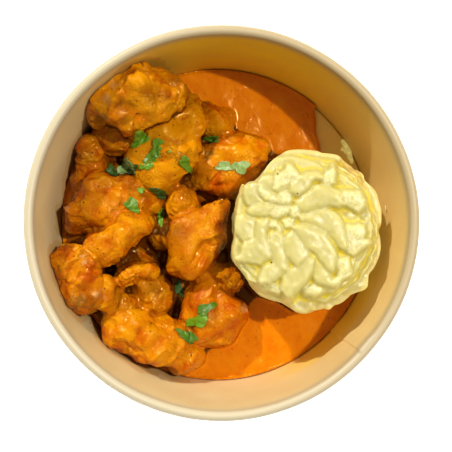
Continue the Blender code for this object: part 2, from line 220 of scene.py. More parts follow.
# Petals, bands and lobes seen from above: level of the top, 1 where it is torn, and outline.
CROWN = {
    "over_right": (56, 0, [
        (28.3, 7.8), (30.4, 9.2), (32.5, 10.7), (34.6, 12.3), (35.9, 13.9), (38.2, 13.7), (40.5, 13.4),
        (42.6, 12.6), (44.7, 11.6), (46.2, 9.7), (46.8, 7.1), (44.7, 6.5), (42.2, 6.7), (39.3, 6.5),
        (36.3, 5.5), (33.8, 4.6), (31.7, 4.1), (29.8, 4.8), (28.9, 6.3),
    ]),
    "over_right_tip": (55.3, 1, [
        (45.5, 11.4), (47.8, 12.0), (50.3, 11.8), (52.4, 11.8), (53.7, 10.5), (54.6, 8.4), (54.7, 6.7),
        (53.7, 5.0), (52.4, 4.2), (50.7, 5.0), (48.6, 6.3), (46.7, 7.1), (46.1, 9.0),
    ]),
    "right": (55.8, 0, [
        (29.6, 2.5), (31.3, 2.9), (32.9, 2.9), (33.8, 4.0), (36.3, 4.8), (38.9, 5.5), (41.0, 5.0),
        (43.1, 3.3), (44.8, 2.1), (46.0, 0.0), (46.4, -1.7), (47.3, -3.8), (47.7, -6.8), (47.7, -10.2),
        (46.0, -9.8), (44.3, -8.1), (42.7, -6.0), (41.0, -3.8), (38.9, -3.0), (36.7, -2.6), (34.6, -1.1),
        (32.5, 0.0), (30.4, 0.6),
    ]),
    "right_tip": (55.2, 1, [
        (47.4, -3.8), (48.2, -0.9), (49.9, -1.3), (50.7, -1.1), (52.9, -0.9), (54.5, -1.7), (55.0, -3.4),
        (54.5, -5.5), (53.7, -6.8), (55.8, -6.8), (56.7, -7.6), (55.4, -8.7), (54.1, -9.7), (52.4, -11.0),
        (50.7, -12.4), (49.1, -11.9), (47.8, -10.6), (47.6, -7.2),
    ]),
    "low_right": (56.1, 0, [
        (27.0, -1.7), (29.5, -1.1), (32.1, -1.1), (34.6, -1.9), (37.1, -3.0), (39.7, -3.6), (40.5, -6.0),
        (42.2, -8.1), (43.0, -10.2), (43.7, -12.7), (43.5, -15.2), (43.0, -17.8), (42.2, -18.4),
        (40.5, -17.8), (39.2, -15.7), (37.6, -14.0), (36.3, -11.9), (33.8, -10.4), (32.1, -9.8),
        (31.2, -7.6), (30.0, -5.5), (28.7, -3.8),
    ]),
    "low_right_end": (54.6, 0, [
        (36.0, -14.8), (38.1, -14.8), (40.3, -16.5), (41.9, -18.2), (41.7, -21.2), (42.4, -24.1),
        (39.4, -23.7), (36.0, -22.4), (35.4, -20.7), (36.0, -17.8),
    ]),
    "low_right_tip": (54.8, 1, [
        (44.5, -13.8), (48.3, -13.6), (48.9, -15.7), (49.7, -19.9), (46.6, -21.4), (44.0, -24.1),
        (42.3, -24.1), (41.9, -22.4), (44.5, -20.7), (44.9, -18.2), (44.0, -16.5),
    ]),
    "low": (55.9, 0, [
        (25.3, -4.3), (27.0, -3.4), (28.7, -4.7), (30.0, -6.8), (31.5, -8.5), (32.3, -10.2), (33.8, -12.3),
        (32.9, -13.5), (31.2, -14.8), (29.1, -16.5), (27.5, -15.7), (26.2, -14.0), (24.9, -12.3),
        (24.2, -10.2), (24.1, -7.6), (24.5, -6.0),
    ]),
    "low_end": (55.3, 0, [
        (33.0, -13.1), (35.1, -13.6), (35.5, -15.2), (34.9, -17.8), (33.8, -19.9), (32.2, -22.4),
        (30.0, -24.5), (27.9, -26.6), (26.2, -28.3), (25.0, -28.1), (23.7, -26.2), (23.1, -24.1),
        (23.5, -21.6), (25.0, -19.5), (26.7, -17.8), (29.2, -16.5), (31.3, -14.8),
    ]),
    "low_left": (55.4, 0, [
        (18.2, -7.2), (19.9, -6.2), (21.2, -6.4), (23.1, -8.1), (24.1, -10.6), (25.0, -13.6), (25.4, -16.1),
        (25.4, -18.2), (23.7, -19.0), (22.0, -20.7), (19.9, -22.0), (18.2, -22.8), (16.1, -22.8),
        (14.6, -22.8), (14.6, -21.2), (15.2, -19.0), (16.5, -16.9), (17.8, -16.1), (19.5, -15.7),
        (19.9, -13.6), (19.3, -11.4), (18.2, -9.7),
    ]),
    "low_left_root": (55.2, 0, [
        (18.6, -3.8), (21.2, -3.8), (22.9, -4.7), (23.7, -6.8), (22.9, -7.6), (21.2, -6.2), (19.5, -5.9),
        (18.2, -6.4),
    ]),
    "left": (55.3, 0, [
        (13.6, 0.7), (17.6, 1.0), (17.7, -1.3), (16.9, -3.0), (16.7, -5.9), (17.8, -8.5), (18.6, -10.6),
        (19.3, -12.7), (18.2, -14.0), (16.1, -14.2), (15.0, -15.7), (13.1, -15.2), (11.0, -14.8),
        (8.5, -14.8), (6.0, -14.4), (5.1, -13.6), (7.7, -11.9), (7.9, -9.3), (8.9, -7.8), (11.5, -7.4),
        (12.9, -5.9), (13.1, -3.0),
    ]),
    "far_left": (54.5, 0, [
        (4.9, 0.8), (5.6, 2.5), (8.5, 2.9), (10.2, 2.5), (12.3, 2.1), (13.2, 0.8), (13.0, -1.7),
        (12.7, -4.7), (12.3, -6.8), (10.2, -7.6), (8.5, -7.4), (7.3, -5.5), (5.6, -3.8), (4.5, -2.6),
        (4.2, -0.9),
    ]),
    "left_stub": (55.4, 0, [
        (10.2, 4.6), (11.4, 5.9), (13.6, 6.7), (16.1, 7.1), (18.6, 7.1), (20.3, 6.3), (19.3, 5.0),
        (18.2, 3.3), (16.9, 2.5), (14.4, 2.7), (11.9, 2.9), (10.4, 3.6),
    ]),
    "back_left_tip": (54.6, 0, [
        (8.5, 13.9), (10.2, 14.1), (12.3, 15.0), (13.6, 14.4), (14.5, 12.2), (14.9, 10.1), (15.9, 8.4),
        (17.8, 7.6), (17.0, 7.2), (14.0, 7.2), (11.5, 6.7), (9.8, 7.2), (9.2, 8.9), (8.7, 11.0),
    ]),
    "back_left": (55.7, 1, [
        (14.0, 14.7), (15.2, 14.3), (16.9, 12.2), (18.6, 11.4), (20.3, 10.3), (21.3, 9.0), (20.7, 7.6),
        (18.6, 7.8), (16.5, 8.8), (14.8, 10.5), (14.0, 12.4),
    ]),
    "back_left_root": (55, 0, [
        (14.0, 15.2), (16.1, 17.5), (18.2, 17.9), (20.3, 17.3), (21.2, 19.2), (23.7, 18.6), (23.1, 16.5),
        (21.2, 15.2), (19.9, 13.5), (19.5, 11.8), (17.8, 11.8), (15.7, 13.5),
    ]),
    "back": (55.8, 1, [
        (20.3, 17.3), (22.0, 18.1), (23.7, 19.4), (24.9, 21.1), (25.3, 22.1), (26.6, 21.9), (27.5, 20.6),
        (29.1, 18.9), (30.0, 17.3), (27.9, 16.4), (25.8, 15.1), (24.5, 13.0), (22.4, 12.2), (20.7, 11.8),
        (19.4, 13.0), (19.9, 15.1),
    ]),
    "over_back": (56.2, 0, [
        (25.9, 13.4), (27.0, 15.1), (28.7, 16.4), (30.4, 17.7), (32.5, 18.7), (35.0, 18.9), (37.1, 18.5),
        (38.5, 17.4), (38.0, 16.7), (35.4, 16.7), (34.2, 15.5), (33.3, 13.4), (31.2, 11.8), (29.1, 10.5),
        (27.4, 10.9), (26.2, 11.8),
    ]),
    "back_spike": (55.4, 1, [
        (38.1, 16.4), (39.3, 18.1), (40.2, 19.4), (41.9, 20.2), (42.7, 21.0), (43.3, 19.4), (43.3, 17.3),
        (43.1, 15.2), (41.4, 14.3), (39.7, 14.3), (38.3, 15.2),
    ]),
    "eye_back": (55.6, 1, [
        (21.6, 10.9), (23.7, 12.2), (25.4, 11.8), (26.2, 10.5), (27.1, 8.8), (25.8, 7.1), (23.7, 6.7),
        (21.6, 7.1), (20.9, 9.0),
    ]),
    "eye_left": (55.2, 1, [
        (18.6, 5.0), (21.2, 6.7), (23.7, 6.9), (25.8, 6.1), (25.8, 4.2), (23.7, 2.9), (21.2, 1.7),
        (19.1, 2.1), (18.2, 3.3),
    ]),
    "eye_right": (55.5, 1, [
        (26.4, 5.9), (28.8, 6.3), (29.8, 4.6), (29.4, 2.5), (27.5, 1.9), (26.0, 3.3),
    ]),
    "eye_low": (55, 1, [
        (23.3, 0.6), (25.4, 1.4), (27.7, 1.2), (27.1, -0.5), (25.8, -1.9), (24.2, -1.9),
    ]),
    "eye_low_left": (54.9, 1, [
        (18.0, 0.2), (20.8, 0.6), (21.1, -1.3), (19.5, -2.1), (18.0, -1.5),
    ]),
    "eye_bit": (54.6, 1, [
        (21.2, 0.0), (22.1, -1.3), (23.1, -3.0), (22.1, -3.6), (21.0, -2.6),
    ]),
    "back_band": (46.2, 0, [
        (16.3, 19.3), (19.1, 24.0), (22.5, 26.7), (25.6, 28.6), (28.7, 29.0), (34.2, 28.8), (38.0, 28.2),
        (41.9, 27.2), (45.0, 26.7), (46.9, 25.3), (45.8, 23.8), (40.3, 24.2), (34.9, 24.7), (28.7, 24.9),
        (24.1, 23.6), (20.2, 20.9),
    ]),
    "right_band": (46.2, 0, [
        (55.1, 18.6), (57.5, 15.5), (59.4, 13.8), (60.9, 11.6), (61.7, 8.5), (62.9, 4.6), (62.7, -0.8),
        (61.2, 0.0), (59.4, 4.6), (57.6, 9.3), (55.9, 13.9),
    ]),
    "low_band": (46.2, 0, [
        (62.5, -9.3), (61.7, -13.2), (59.4, -17.9), (57.1, -20.2), (55.9, -19.4), (58.6, -14.8),
        (60.4, -9.3), (61.3, -4.7),
    ]),
    "first_lobe": (46, 0, [
        (13.3, -24.9), (17.2, -27.2), (21.8, -28.4), (26.9, -28.4), (27.1, -30.7), (24.2, -31.7),
        (20.3, -30.9), (16.4, -29.4), (13.3, -27.0),
    ]),
    "second_lobe": (46.5, 0, [
        (26.3, -28.4), (31.1, -27.6), (35.4, -28.1), (36.4, -31.0), (35.9, -34.1), (34.2, -34.3),
        (32.6, -35.7), (30.3, -35.5), (28.0, -34.8), (26.3, -31.8),
    ]),
    "third_lobe": (45.9, 0, [
        (36.1, -29.1), (40.5, -28.6), (45.1, -27.2), (48.2, -26.9), (49.9, -28.0), (48.2, -30.4),
        (45.9, -32.0), (43.9, -32.5), (42.0, -34.8), (40.1, -33.5), (37.2, -34.6), (36.7, -31.8),
    ]),
    "fourth_lobe": (46.9, 0, [
        (45.4, -26.1), (48.1, -23.7), (52.3, -20.6), (55.8, -19.4), (57.1, -20.2), (56.8, -24.8),
        (55.1, -26.2), (52.7, -27.0), (50.3, -27.9), (48.1, -26.8),
    ]),
    "low_flake": (52.2, 1, [
        (30.5, -24.1), (34.4, -23.2), (38.6, -24.7), (38.2, -27.0), (35.9, -28.0), (32.1, -27.0),
    ]),
    "low_left_flake": (52.4, 1, [
        (13.7, -20.1), (16.8, -21.6), (21.4, -23.2), (23.7, -25.5), (22.1, -27.0), (17.5, -25.5),
        (14.1, -22.8),
    ]),
}
# Terraces under the petals, from the lower one up: level of the top, and outline.
TIERS = {
    "middle": (48.2, [
        (14.5, 18.6), (16.2, 21.3), (18.8, 23.1), (21.8, 23.6), (27.0, 23.2), (30.4, 24.1), (35.5, 24.3),
        (40.3, 23.7), (43.7, 22.6), (47.5, 21.3), (51.0, 19.4), (53.1, 16.8), (54.8, 14.3), (56.5, 11.3),
        (58.0, 7.0), (59.8, 2.7), (60.6, -0.7), (61.2, -5.0), (60.6, -8.4), (59.8, -11.9), (58.3, -15.3),
        (56.1, -18.7), (54.4, -21.5), (51.8, -24.1), (48.8, -26.2), (45.4, -28.4), (42.0, -30.3),
        (39.0, -31.2), (36.4, -30.3), (32.5, -29.0), (29.5, -29.5), (26.1, -29.9), (21.8, -29.7),
        (17.5, -28.4), (14.1, -26.2), (11.1, -23.7), (8.5, -20.7), (6.0, -17.9), (4.5, -14.9), (3.9, -11.9),
        (4.7, -8.4), (4.9, -5.9), (4.3, -1.6), (4.9, 1.8), (5.5, 3.6), (8.1, 5.3), (8.8, 10.4), (8.8, 14.3),
        (12.8, 16.0),
    ]),
    "upper": (51.6, [
        (16.4, 18.3), (18.5, 20.5), (21.5, 22.2), (25.3, 22.4), (27.9, 20.9), (30.9, 20.3), (34.3, 20.7),
        (36.4, 19.6), (39.4, 19.6), (42.8, 21.7), (44.5, 20.0), (47.4, 18.3), (50.8, 16.0), (53.4, 13.7),
        (55.3, 10.3), (56.8, 6.0), (58.1, 1.7), (58.4, -2.5), (57.9, -6.8), (56.6, -11.0), (54.7, -15.3),
        (52.3, -19.1), (50.4, -22.1), (47.0, -24.6), (42.8, -27.0), (38.5, -27.2), (34.3, -26.8),
        (31.7, -25.9), (27.4, -28.9), (24.0, -27.6), (18.9, -27.0), (14.3, -25.1), (10.4, -22.1),
        (7.9, -19.1), (5.7, -15.7), (4.5, -13.6), (4.0, -11.0), (4.9, -8.0), (5.1, -5.9), (4.5, -3.4),
        (4.3, -1.2), (4.9, 1.7), (5.5, 3.4), (8.7, 4.7), (9.4, 6.9), (8.6, 10.3), (8.6, 14.1), (12.6, 15.6),
    ]),
}
# Torn lobes on the lower turns, and a thin flap at the chicken's side: x, y, z, half width, half thickness.
LOBE_RINGS = 40
LOBE_SIDES = 32
LOBE_SQUARENESS = 2.6
LOW_LOBES = [
    [(28.1, -30.3, 32, 2.2, 3), (30.7, -32.2, 33, 2.8, 4), (32.5, -32.6, 32, 2.2, 3)],
    [(34.4, -32.2, 33, 1.8, 3), (38.1, -32.0, 34, 2.2, 3), (40.1, -31.6, 33, 1.6, 3)],
    [(51.5, -23.4, 36, 1.6, 3), (53.7, -22.2, 37, 1.9, 3), (55.6, -21.4, 36, 1.3, 3)],
    [(8.5, 13.0, 36, 1, 5), (7.7, 9.5, 40, 1.2, 6), (7.1, 6.1, 39, 1.1, 5), (7.1, 3.9, 36, 0.9, 4)],
]
# Outline of the swirl seen from above, about a point: direction in degrees and radius.
MASH_MIDDLE = (32.3, -2.0)
MASH_EDGE = [
    (-173.6, 26.8), (-167.4, 27.7), (-161.5, 28.9), (-155.6, 29.7), (-149.0, 29.7), (-141.0, 29.3),
    (-135.7, 29.7), (-129.6, 29.6), (-124.1, 30.9), (-117.2, 31.0), (-109.4, 30.8), (-104.8, 30.9),
    (-99.7, 30.7), (-95.6, 33.1), (-91.5, 33.8), (-87.5, 34.2), (-84.7, 32.7), (-80.7, 33.4), (-74.4, 33.0),
    (-71.8, 34.7), (-67.3, 33.2), (-64.0, 33.7), (-59.2, 33.4), (-54.1, 32.5), (-49.1, 33.3), (-45.3, 34.3),
    (-41.9, 34.7), (-35.4, 32.0), (-29.6, 32.7), (-20.5, 32.9), (-13.5, 32.5), (-5.3, 31.3), (1.8, 31.8),
    (11.5, 32.6), (18.7, 32.5), (24.3, 32.9), (28.6, 32.4), (32.8, 31.5), (37.2, 30.8), (41.0, 32.0),
    (45.4, 32.2), (49.5, 31.2), (58.3, 31.1), (59.9, 31.7), (64.1, 32.0), (69.7, 31.3), (75.3, 30.6),
    (77.1, 31.1), (84.4, 31.0), (94.5, 31.2), (100.3, 31.2), (106.8, 30.1), (115.1, 28.8), (120.9, 27.6),
    (125.7, 26.3), (135.4, 25.4), (141.0, 27.8), (144.3, 28.0), (169.7, 26.7), (178.1, 27.2),
]
MASH_LEAN = (-1.0, 0.2)
LEAN_BETWEEN = (20.0, 44.0)
# The piped rope, turn by turn from the bottom: its part of the outline, height above the floor, half width.
ROPE_TURNS = [(0.93, 3.6, 3.5), (0.975, 10.0, 3.6), (0.985, 16.6, 3.6), (0.99, 23.2, 3.5), (0.985, 28.6, 3.2)]
# Core of the swirl, up its side and over its top: its part of the outline and height above the floor.
CORE_PROFILE = [(0.84, 0.4), (0.88, 6.0), (0.9, 16.0), (0.9, 27.0), (0.8, 30.0), (0.4, 31.0)]

LEAF_SIDES = 54
LEAF_RINGS = 10
LEAF_THICKNESS = 0.18
# Coriander: x, y, half length, half width, turn in degrees, how dark from 0 to 1, and how much it curls.
LEAVES = [
    (-31.5, 32.6, 3.9, 2.1, 35, 0.45, 0.3), (-23.6, 29.3, 3.9, 3.4, 20, 0.55, 0.5),
    (-27.9, 24.6, 4.6, 2.3, 55, 0.55, 0.4), (-2.5, 34.2, 2.9, 1.3, -8, 0.75, 0.3),
    (-13.3, 23.2, 3.4, 1.9, -60, 0.6, 0.6), (2.2, 22.9, 3.4, 1.9, -5, 0.1, 0.3),
    (8.8, 22.6, 3.2, 2.6, 12, 0.15, 0.4), (-42.9, 21.3, 2.6, 1.7, -60, 0.9, 0.3),
    (-37.3, 22.3, 3.4, 2.8, 20, 0.1, 0.7), (-34.3, 21.5, 1.9, 1.9, 40, 0.95, 0.3),
    (-31.1, 13.1, 1.4, 1.1, 0, 0.5, 0.3), (-24.0, 12.1, 3.4, 1.6, -30, 0.95, 0.3),
    (-34.5, 7.2, 3.2, 2.4, -50, 0.6, 0.5), (-23.2, 2.5, 3.4, 1.2, 85, 0.4, 0.4),
    (-15.8, -26.2, 3.1, 1.6, -78, 0.9, 0.4), (-5.2, -33.7, 4.2, 1.9, 25, 0.75, 0.5),
    (-8.4, -38.7, 4.6, 2.4, 20, 0.5, 0.3), (-12.5, -44.9, 4.4, 2.0, -28, 0.75, 0.5),
]

# Dirt: crumbs of mash on the floor (place, half length, width and thickness, turn) and on the wall (direction,
# height, sizes), specks of sauce on the wall (direction, height, size) and of spice on the mash (x, y).
FLOOR_CRUMBS = [
    ((53.0, 33.4, 7.8), 1.9, 1.2, 1.0, 28.0), ((54.0, 31.0, 8.0), 2.0, 1.5, 1.3, 15.0),
    ((55.0, 28.6, 7.8), 1.8, 1.1, 1.0, 25.0), ((55.8, 26.6, 7.6), 1.1, 0.7, 0.7, 5.0),
    ((52.0, 31.3, 7.5), 0.8, 0.6, 0.5, 60.0), ((54.2, 33.6, 8.2), 0.8, 0.7, 0.6, 10.0),
]
WALL_CRUMBS = [(5.2, 31.0, 1.1, 0.7, 0.5)]
WALL_SPECKS = [
    (-166.1, 37.0, 0.5), (-155.5, 40.0, 0.4), (-149.8, 26.8, 0.6), (-148.0, 28.5, 0.4), (-142.3, 19.8, 0.5),
]
MASH_SPECKS = [(18.9, -15.3), (21.3, 18.5), (28.8, 11.0)]

# Camera and lamps: where the camera is and looks, its lens, and the lamps' directions, round from +X and up.
CAMERA_AT = (-22.3, -10.7, 610.0)
CAMERA_AIM = (1.37, -1.47, 60.0)
LENS = 116.3
FROM_RIGHT = (19.4, 66.5)
FROM_BACK_LEFT = (122.0, 40.0)
PANEL_BACK_LEFT = (122.0, 42.0)
LAMP_WIDTH = 1.5
PANEL_SIDE = 220.0
PANEL_POWER = 4.2
FLOOR_SPAN = 4000.0


def wall_inside(height):
    """Radius of the wall's inner face: straight from the foot up to where the rim starts to curl."""
    foot = FOOT_DIAMETER / 2 - PAPER
    top = RIM_DIAMETER / 2 - 2 * CURL_RADIUS
    return foot + (top - foot) * height / (BOWL_HEIGHT - CURL_RADIUS)


def lumps(points, size, seed):
    """Smooth value of about -1 to 1 in space: WAVES sines `size` long, in seeded directions, added up."""
    seeded = np.random.default_rng(seed)
    directions = seeded.normal(size=(3, WAVES))
    directions /= np.linalg.norm(directions, axis=0)
    phases = seeded.uniform(0, 2 * np.pi, WAVES)
    return np.sin(points @ directions * 2 * np.pi / size + phases).sum(axis=-1) / np.sqrt(WAVES)


def along(knots, steps):
    """Catmull-Rom curve through the knots, read at the steps from 0 to 1, for all their columns at once."""
    knots = np.array(knots, dtype=float)
    ends = np.vstack([2 * knots[0] - knots[1], knots, 2 * knots[-1] - knots[-2]])
    place = steps * (len(knots) - 1)
    at = np.minimum(place.astype(int), len(knots) - 2)
    t = (place - at)[:, None]
    a, b, c, d = (ends[at + k] for k in range(4))
    return 0.5 * (2 * b + (c - a) * t + (2 * a - 5 * b + 4 * c - d) * t**2 + (3 * b - a - 3 * c + d) * t**3)


def smoothstep(low, high, value):
    """0 below low, 1 above high, and a smooth S between them: 3 t squared less 2 t cubed."""
    part = np.clip((value - low) / (high - low), 0.0, 1.0)
    return part * part * (3 - 2 * part)


def polar(radius, turn, height):
    """Points at a radius, a direction about Z and a height, all spread to one shape."""
    return np.stack(np.broadcast_arrays(radius * np.cos(turn), radius * np.sin(turn), height), axis=-1)


def new_mesh(name, points, faces):
    """Mesh from points in mm and a list of index arrays, one array for each number of corners."""
    mesh = bpy.data.meshes.new(name)
    mesh.vertices.add(len(points))
    mesh.vertices.foreach_set("co", (points * MM).astype(np.float32).ravel())
    loops = np.concatenate([part.ravel() for part in faces])
    sizes = np.concatenate([np.full(len(part), part.shape[1]) for part in faces])
    mesh.loops.add(len(loops))
    mesh.loops.foreach_set("vertex_index", loops.astype(np.int32))
    mesh.polygons.add(len(sizes))
    mesh.polygons.foreach_set("loop_start", (np.cumsum(sizes) - sizes).astype(np.int32))
    mesh.update(calc_edges=True)
    mesh.validate()
    return mesh


def grid_faces(index, wrap_rows=False, wrap_columns=True):
    """Quads between neighbours in a grid of point numbers, each facing out when columns run anticlockwise."""
    rows = np.vstack([index, index[:1]]) if wrap_rows else index
    both = np.column_stack([rows, rows[:, :1]]) if wrap_columns else rows
    return np.stack([both[:-1, :-1], both[:-1, 1:], both[1:, 1:], both[1:, :-1]], axis=-1).reshape(-1, 4)


def closed_skin(rings, first_pole, last_pole):
    """Points and faces of rings joined one to the next, with a fan of triangles at either end."""
    count, sides, _ = rings.shape
    points = np.concatenate([rings.reshape(-1, 3), [first_pole, last_pole]])
    index = np.arange(count * sides).reshape(count, sides)
    ahead = np.roll(index, -1, axis=1)
    first = np.stack([ahead[0], index[0], np.full(sides, count * sides)], axis=-1)
    last = np.stack([index[-1], ahead[-1], np.full(sides, count * sides + 1)], axis=-1)
    return points, [grid_faces(index), np.vstack([first, last])]


def disc_skin(top, steps, inset, centre):
    """A grid over a disc, a wall down from its rim drawn in by `inset`, and a fan to the centre below."""
    index = np.arange(steps * steps).reshape(steps, steps)
    rim = np.concatenate([index[:-1, 0], index[-1, :-1], index[:0:-1, -1], index[0, :0:-1]])
    foot = (top[rim] - (centre[0], centre[1], 0)) * (inset, inset, 0) + centre
    below = len(top) + np.arange(len(rim))
    sides = np.stack([rim, below, np.roll(below, -1), np.roll(rim, -1)], axis=-1)
    fan = np.stack([np.roll(below, -1), below, np.full(len(rim), below[-1] + 1)], axis=-1)
    return np.vstack([top, foot, [centre]]), [grid_faces(index, wrap_columns=False)[:, ::-1], sides, fan]


def joined(skins):
    """Several skins as one: their points end to end, and their faces renumbered."""
    points = np.concatenate([skin[0] for skin in skins])
    starts = np.cumsum([0] + [len(skin[0]) for skin in skins[:-1]])
    quads = np.vstack([skin[1][0] + start for skin, start in zip(skins, starts)])
    fans = np.vstack([skin[1][1] + start for skin, start in zip(skins, starts)])
    return points, [quads, fans]


def add_piece(name, mesh, finish, slot, *nodes, **values):
    """A piece of the object: smooth, with its finish, any per-point values, and the solids it stands for."""
    mesh.materials.clear()
    mesh.materials.append(finish)
    mesh.shade_smooth()
    for key, value in values.items():
        mesh.attributes.new(key, "FLOAT", "POINT").data.foreach_set("value", value.astype(np.float32).ravel())
    made = bpy.data.objects.new(name, mesh)
    bpy.context.scene.collection.objects.link(made)
    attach(made, "root")
    if nodes:
        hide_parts(*nodes)
    return made


def kept_inside(points, floor=FLOOR_TOP + FIT_GAP):
    """Points moved in from the wall and up from the floor, so that food lies flat against both."""
    points = points.copy()
    points[..., 2] = np.maximum(points[..., 2], floor)
    reach = np.hypot(points[..., 0], points[..., 1])
    limit = wall_inside(points[..., 2]) - WALL_GAP
    points[..., :2] *= np.minimum(1.0, limit / reach)[..., None]
    return points


def sweep(knots, rings, sides, squareness):
    """Squarish ovals across the curve through the knots, closed at both ends, and their outward directions."""
    steps = (1 - np.cos(np.linspace(0, np.pi, rings + 2))) / 2
    rows = along(knots, steps)
    middle = rows[:, :3]
    close = (1 - np.abs(2 * steps - 1) ** BLUNTNESS) ** 0.5
    ahead = np.gradient(middle, axis=0)
    ahead /= np.linalg.norm(ahead, axis=1, keepdims=True)
    side = np.cross((0.0, 0.0, 1.0), ahead)
    side /= np.linalg.norm(side, axis=1, keepdims=True)
    up = np.cross(ahead, side)
    angles = np.linspace(0, 2 * np.pi, sides, endpoint=False)
    wide = np.sign(np.cos(angles)) * np.abs(np.cos(angles)) ** (2 / squareness)
    high = np.sign(np.sin(angles)) * np.abs(np.sin(angles)) ** (2 / squareness)
    out = side[:, None] * (rows[:, 3] * close)[:, None, None] * wide[:, None]
    out = out + up[:, None] * (rows[:, 4] * close)[:, None, None] * high[:, None]
    length = np.linalg.norm(out, axis=-1, keepdims=True)
    return middle[:, None] + out, out / np.maximum(length, 0.1), close[:, None]


# --------------------------------------------------------------------------------------------------
# Materials
# --------------------------------------------------------------------------------------------------


def wire(tree, made, inputs):
    """Each input of a node linked from an output, or set to a value."""
    for key, value in inputs.items():
        if isinstance(value, bpy.types.NodeSocket):
            tree.links.new(value, made.inputs[key])
        else:
            made.inputs[key].default_value = value


def node(tree, kind, inputs=None, **settings):
    """A node with its settings and inputs."""
    made = tree.nodes.new(kind)
    for key, value in settings.items():
        setattr(made, key, value)
    wire(tree, made, inputs or {})
    return made


def math(tree, operation, first, second=0.0, clamp=False):
    """Two values put together by the operation, kept within 0 and 1 if clamped."""
    made = node(tree, "ShaderNodeMath", {0: first, 1: second}, operation=operation, use_clamp=clamp)
    return made.outputs[0]


def ramp(tree, value, low, high, out_low=0.0, out_high=1.0):
    """The value's stretch from low to high, smoothed and mapped to the two outputs."""
    inputs = {0: value, 1: low, 2: high, 3: out_low, 4: out_high}
    return node(tree, "ShaderNodeMapRange", inputs, interpolation_type="SMOOTHSTEP").outputs[0]


def mix(tree, part, first, second):
    """The first colour where the part is 0 and the second where it is 1."""
    made = node(tree, "ShaderNodeMix", data_type="RGBA")
    first, second = ((*shade, 1.0) if isinstance(shade, tuple) else shade for shade in (first, second))
    wire(tree, made, {0: part, 6: first, 7: second})
    return made.outputs[2]


def noise(tree, place, per_metre, detail=2.0, roughness=0.5):
    """Cloudy value of about 0.3 to 0.7, with so many waves to the metre."""
    inputs = {"Vector": place, "Scale": per_metre, "Detail": detail, "Roughness": roughness}
    return node(tree, "ShaderNodeTexNoise", inputs).outputs[0]


def spots(tree, place, per_metre, radius, share, seed_shift):
    """Mask of round spots, `radius` of a cell wide each, in a `share` of the cells."""
    moved = node(tree, "ShaderNodeVectorMath", {0: place, 1: (seed_shift, 0.0, 0.0)}, operation="ADD")
    cells = node(tree, "ShaderNodeTexVoronoi", {"Vector": moved.outputs[0], "Scale": per_metre})
    inside = ramp(tree, cells.outputs["Distance"], radius * 1.3, radius * 0.7)
    drawn = node(tree, "ShaderNodeSeparateColor", {0: cells.outputs["Color"]}).outputs[0]
    return math(tree, "MULTIPLY", inside, math(tree, "LESS_THAN", drawn, share))


def group(name, inputs, outputs):
    """A shader node group with its named sockets; returns the tree, its inputs and its output node."""
    tree = bpy.data.node_groups.new(name, "ShaderNodeTree")
    for key, kind in inputs:
        tree.interface.new_socket(key, in_out="INPUT", socket_type=kind)
    for key, kind in outputs:
        tree.interface.new_socket(key, in_out="OUTPUT", socket_type=kind)
    return tree, tree.nodes.new("NodeGroupInput").outputs, tree.nodes.new("NodeGroupOutput").inputs


def curry_coat_group():
    """Orange sauce: mottled between a deep and a bright orange, with dark flecks of spice, a grain, and painted
    shade in gaps.
    """
    colour, value = "NodeSocketColor", "NodeSocketFloat"
    tree, given, out = group(
        "curry_coat",
        [("Deep", colour), ("Bright", colour), ("Tone", value), ("Flecks", value), ("PaintedShade", value)],
        [("Color", colour), ("Height", value), ("Roughness", value)],
    )
    place = node(tree, "ShaderNodeTexCoord").outputs["Object"]
    broad = noise(tree, place, 170.0, 3.0)
    middle = noise(tree, place, 420.0, 3.0, 0.6)
    fine = noise(tree, place, 1100.0, 3.0, 0.6)
    tone = given["Tone"]
    for texture, share in ((broad, 1.1), (middle, 0.9), (fine, 0.6)):
        tone = math(tree, "ADD", tone, math(tree, "MULTIPLY", math(tree, "SUBTRACT", texture, 0.5), share))
    coat = mix(tree, math(tree, "ADD", tone, 0.0, clamp=True), given["Deep"], given["Bright"])
    flecks = spots(tree, place, 330.0, 0.13, 0.5, 0.37)
    small = spots(tree, place, 620.0, 0.16, 0.22, 0.71)
    dark = math(tree, "MULTIPLY", math(tree, "MAXIMUM", flecks, small), given["Flecks"])
    fleck, painted_gap_shade = (0.16, 0.03, 0.002), (0.065, 0.011, 0.0005)
    coat = mix(tree, dark, coat, fleck)
    # Painted shade: the coat darkens towards near black where the point lies deep among the pieces.
    coat = mix(tree, math(tree, "MULTIPLY", given["PaintedShade"], 0.95), coat, painted_gap_shade)
    cluster = ramp(tree, noise(tree, place, 95.0, 2.0), 0.42, 0.62, 0.25, 1.0)
    height = math(tree, "MULTIPLY", math(tree, "ADD", fine, middle), cluster)
    tree.links.new(coat, out["Color"])
    tree.links.new(math(tree, "ADD", height, math(tree, "MULTIPLY", broad, 0.6)), out["Height"])
    tree.links.new(ramp(tree, broad, 0.35, 0.65, 0.08, 0.18), out["Roughness"])
    return tree


def new_material(name):
    """A material with nodes; returns it, its tree and its shader."""
    made = bpy.data.materials.new(name)
    made.use_nodes = True
    return made, made.node_tree, made.node_tree.nodes["Principled BSDF"]


def attribute(tree, name):
    """Value that the piece's points carry under a name."""
    return node(tree, "ShaderNodeAttribute", attribute_name=name).outputs["Fac"]


def bumped(tree, shader, height, distance):
    """Relief `distance` mm deep from a height of 0 to 1."""
    bump = node(tree, "ShaderNodeBump", {"Height": height, "Distance": distance * MM})
    tree.links.new(bump.outputs[0], shader.inputs["Normal"])


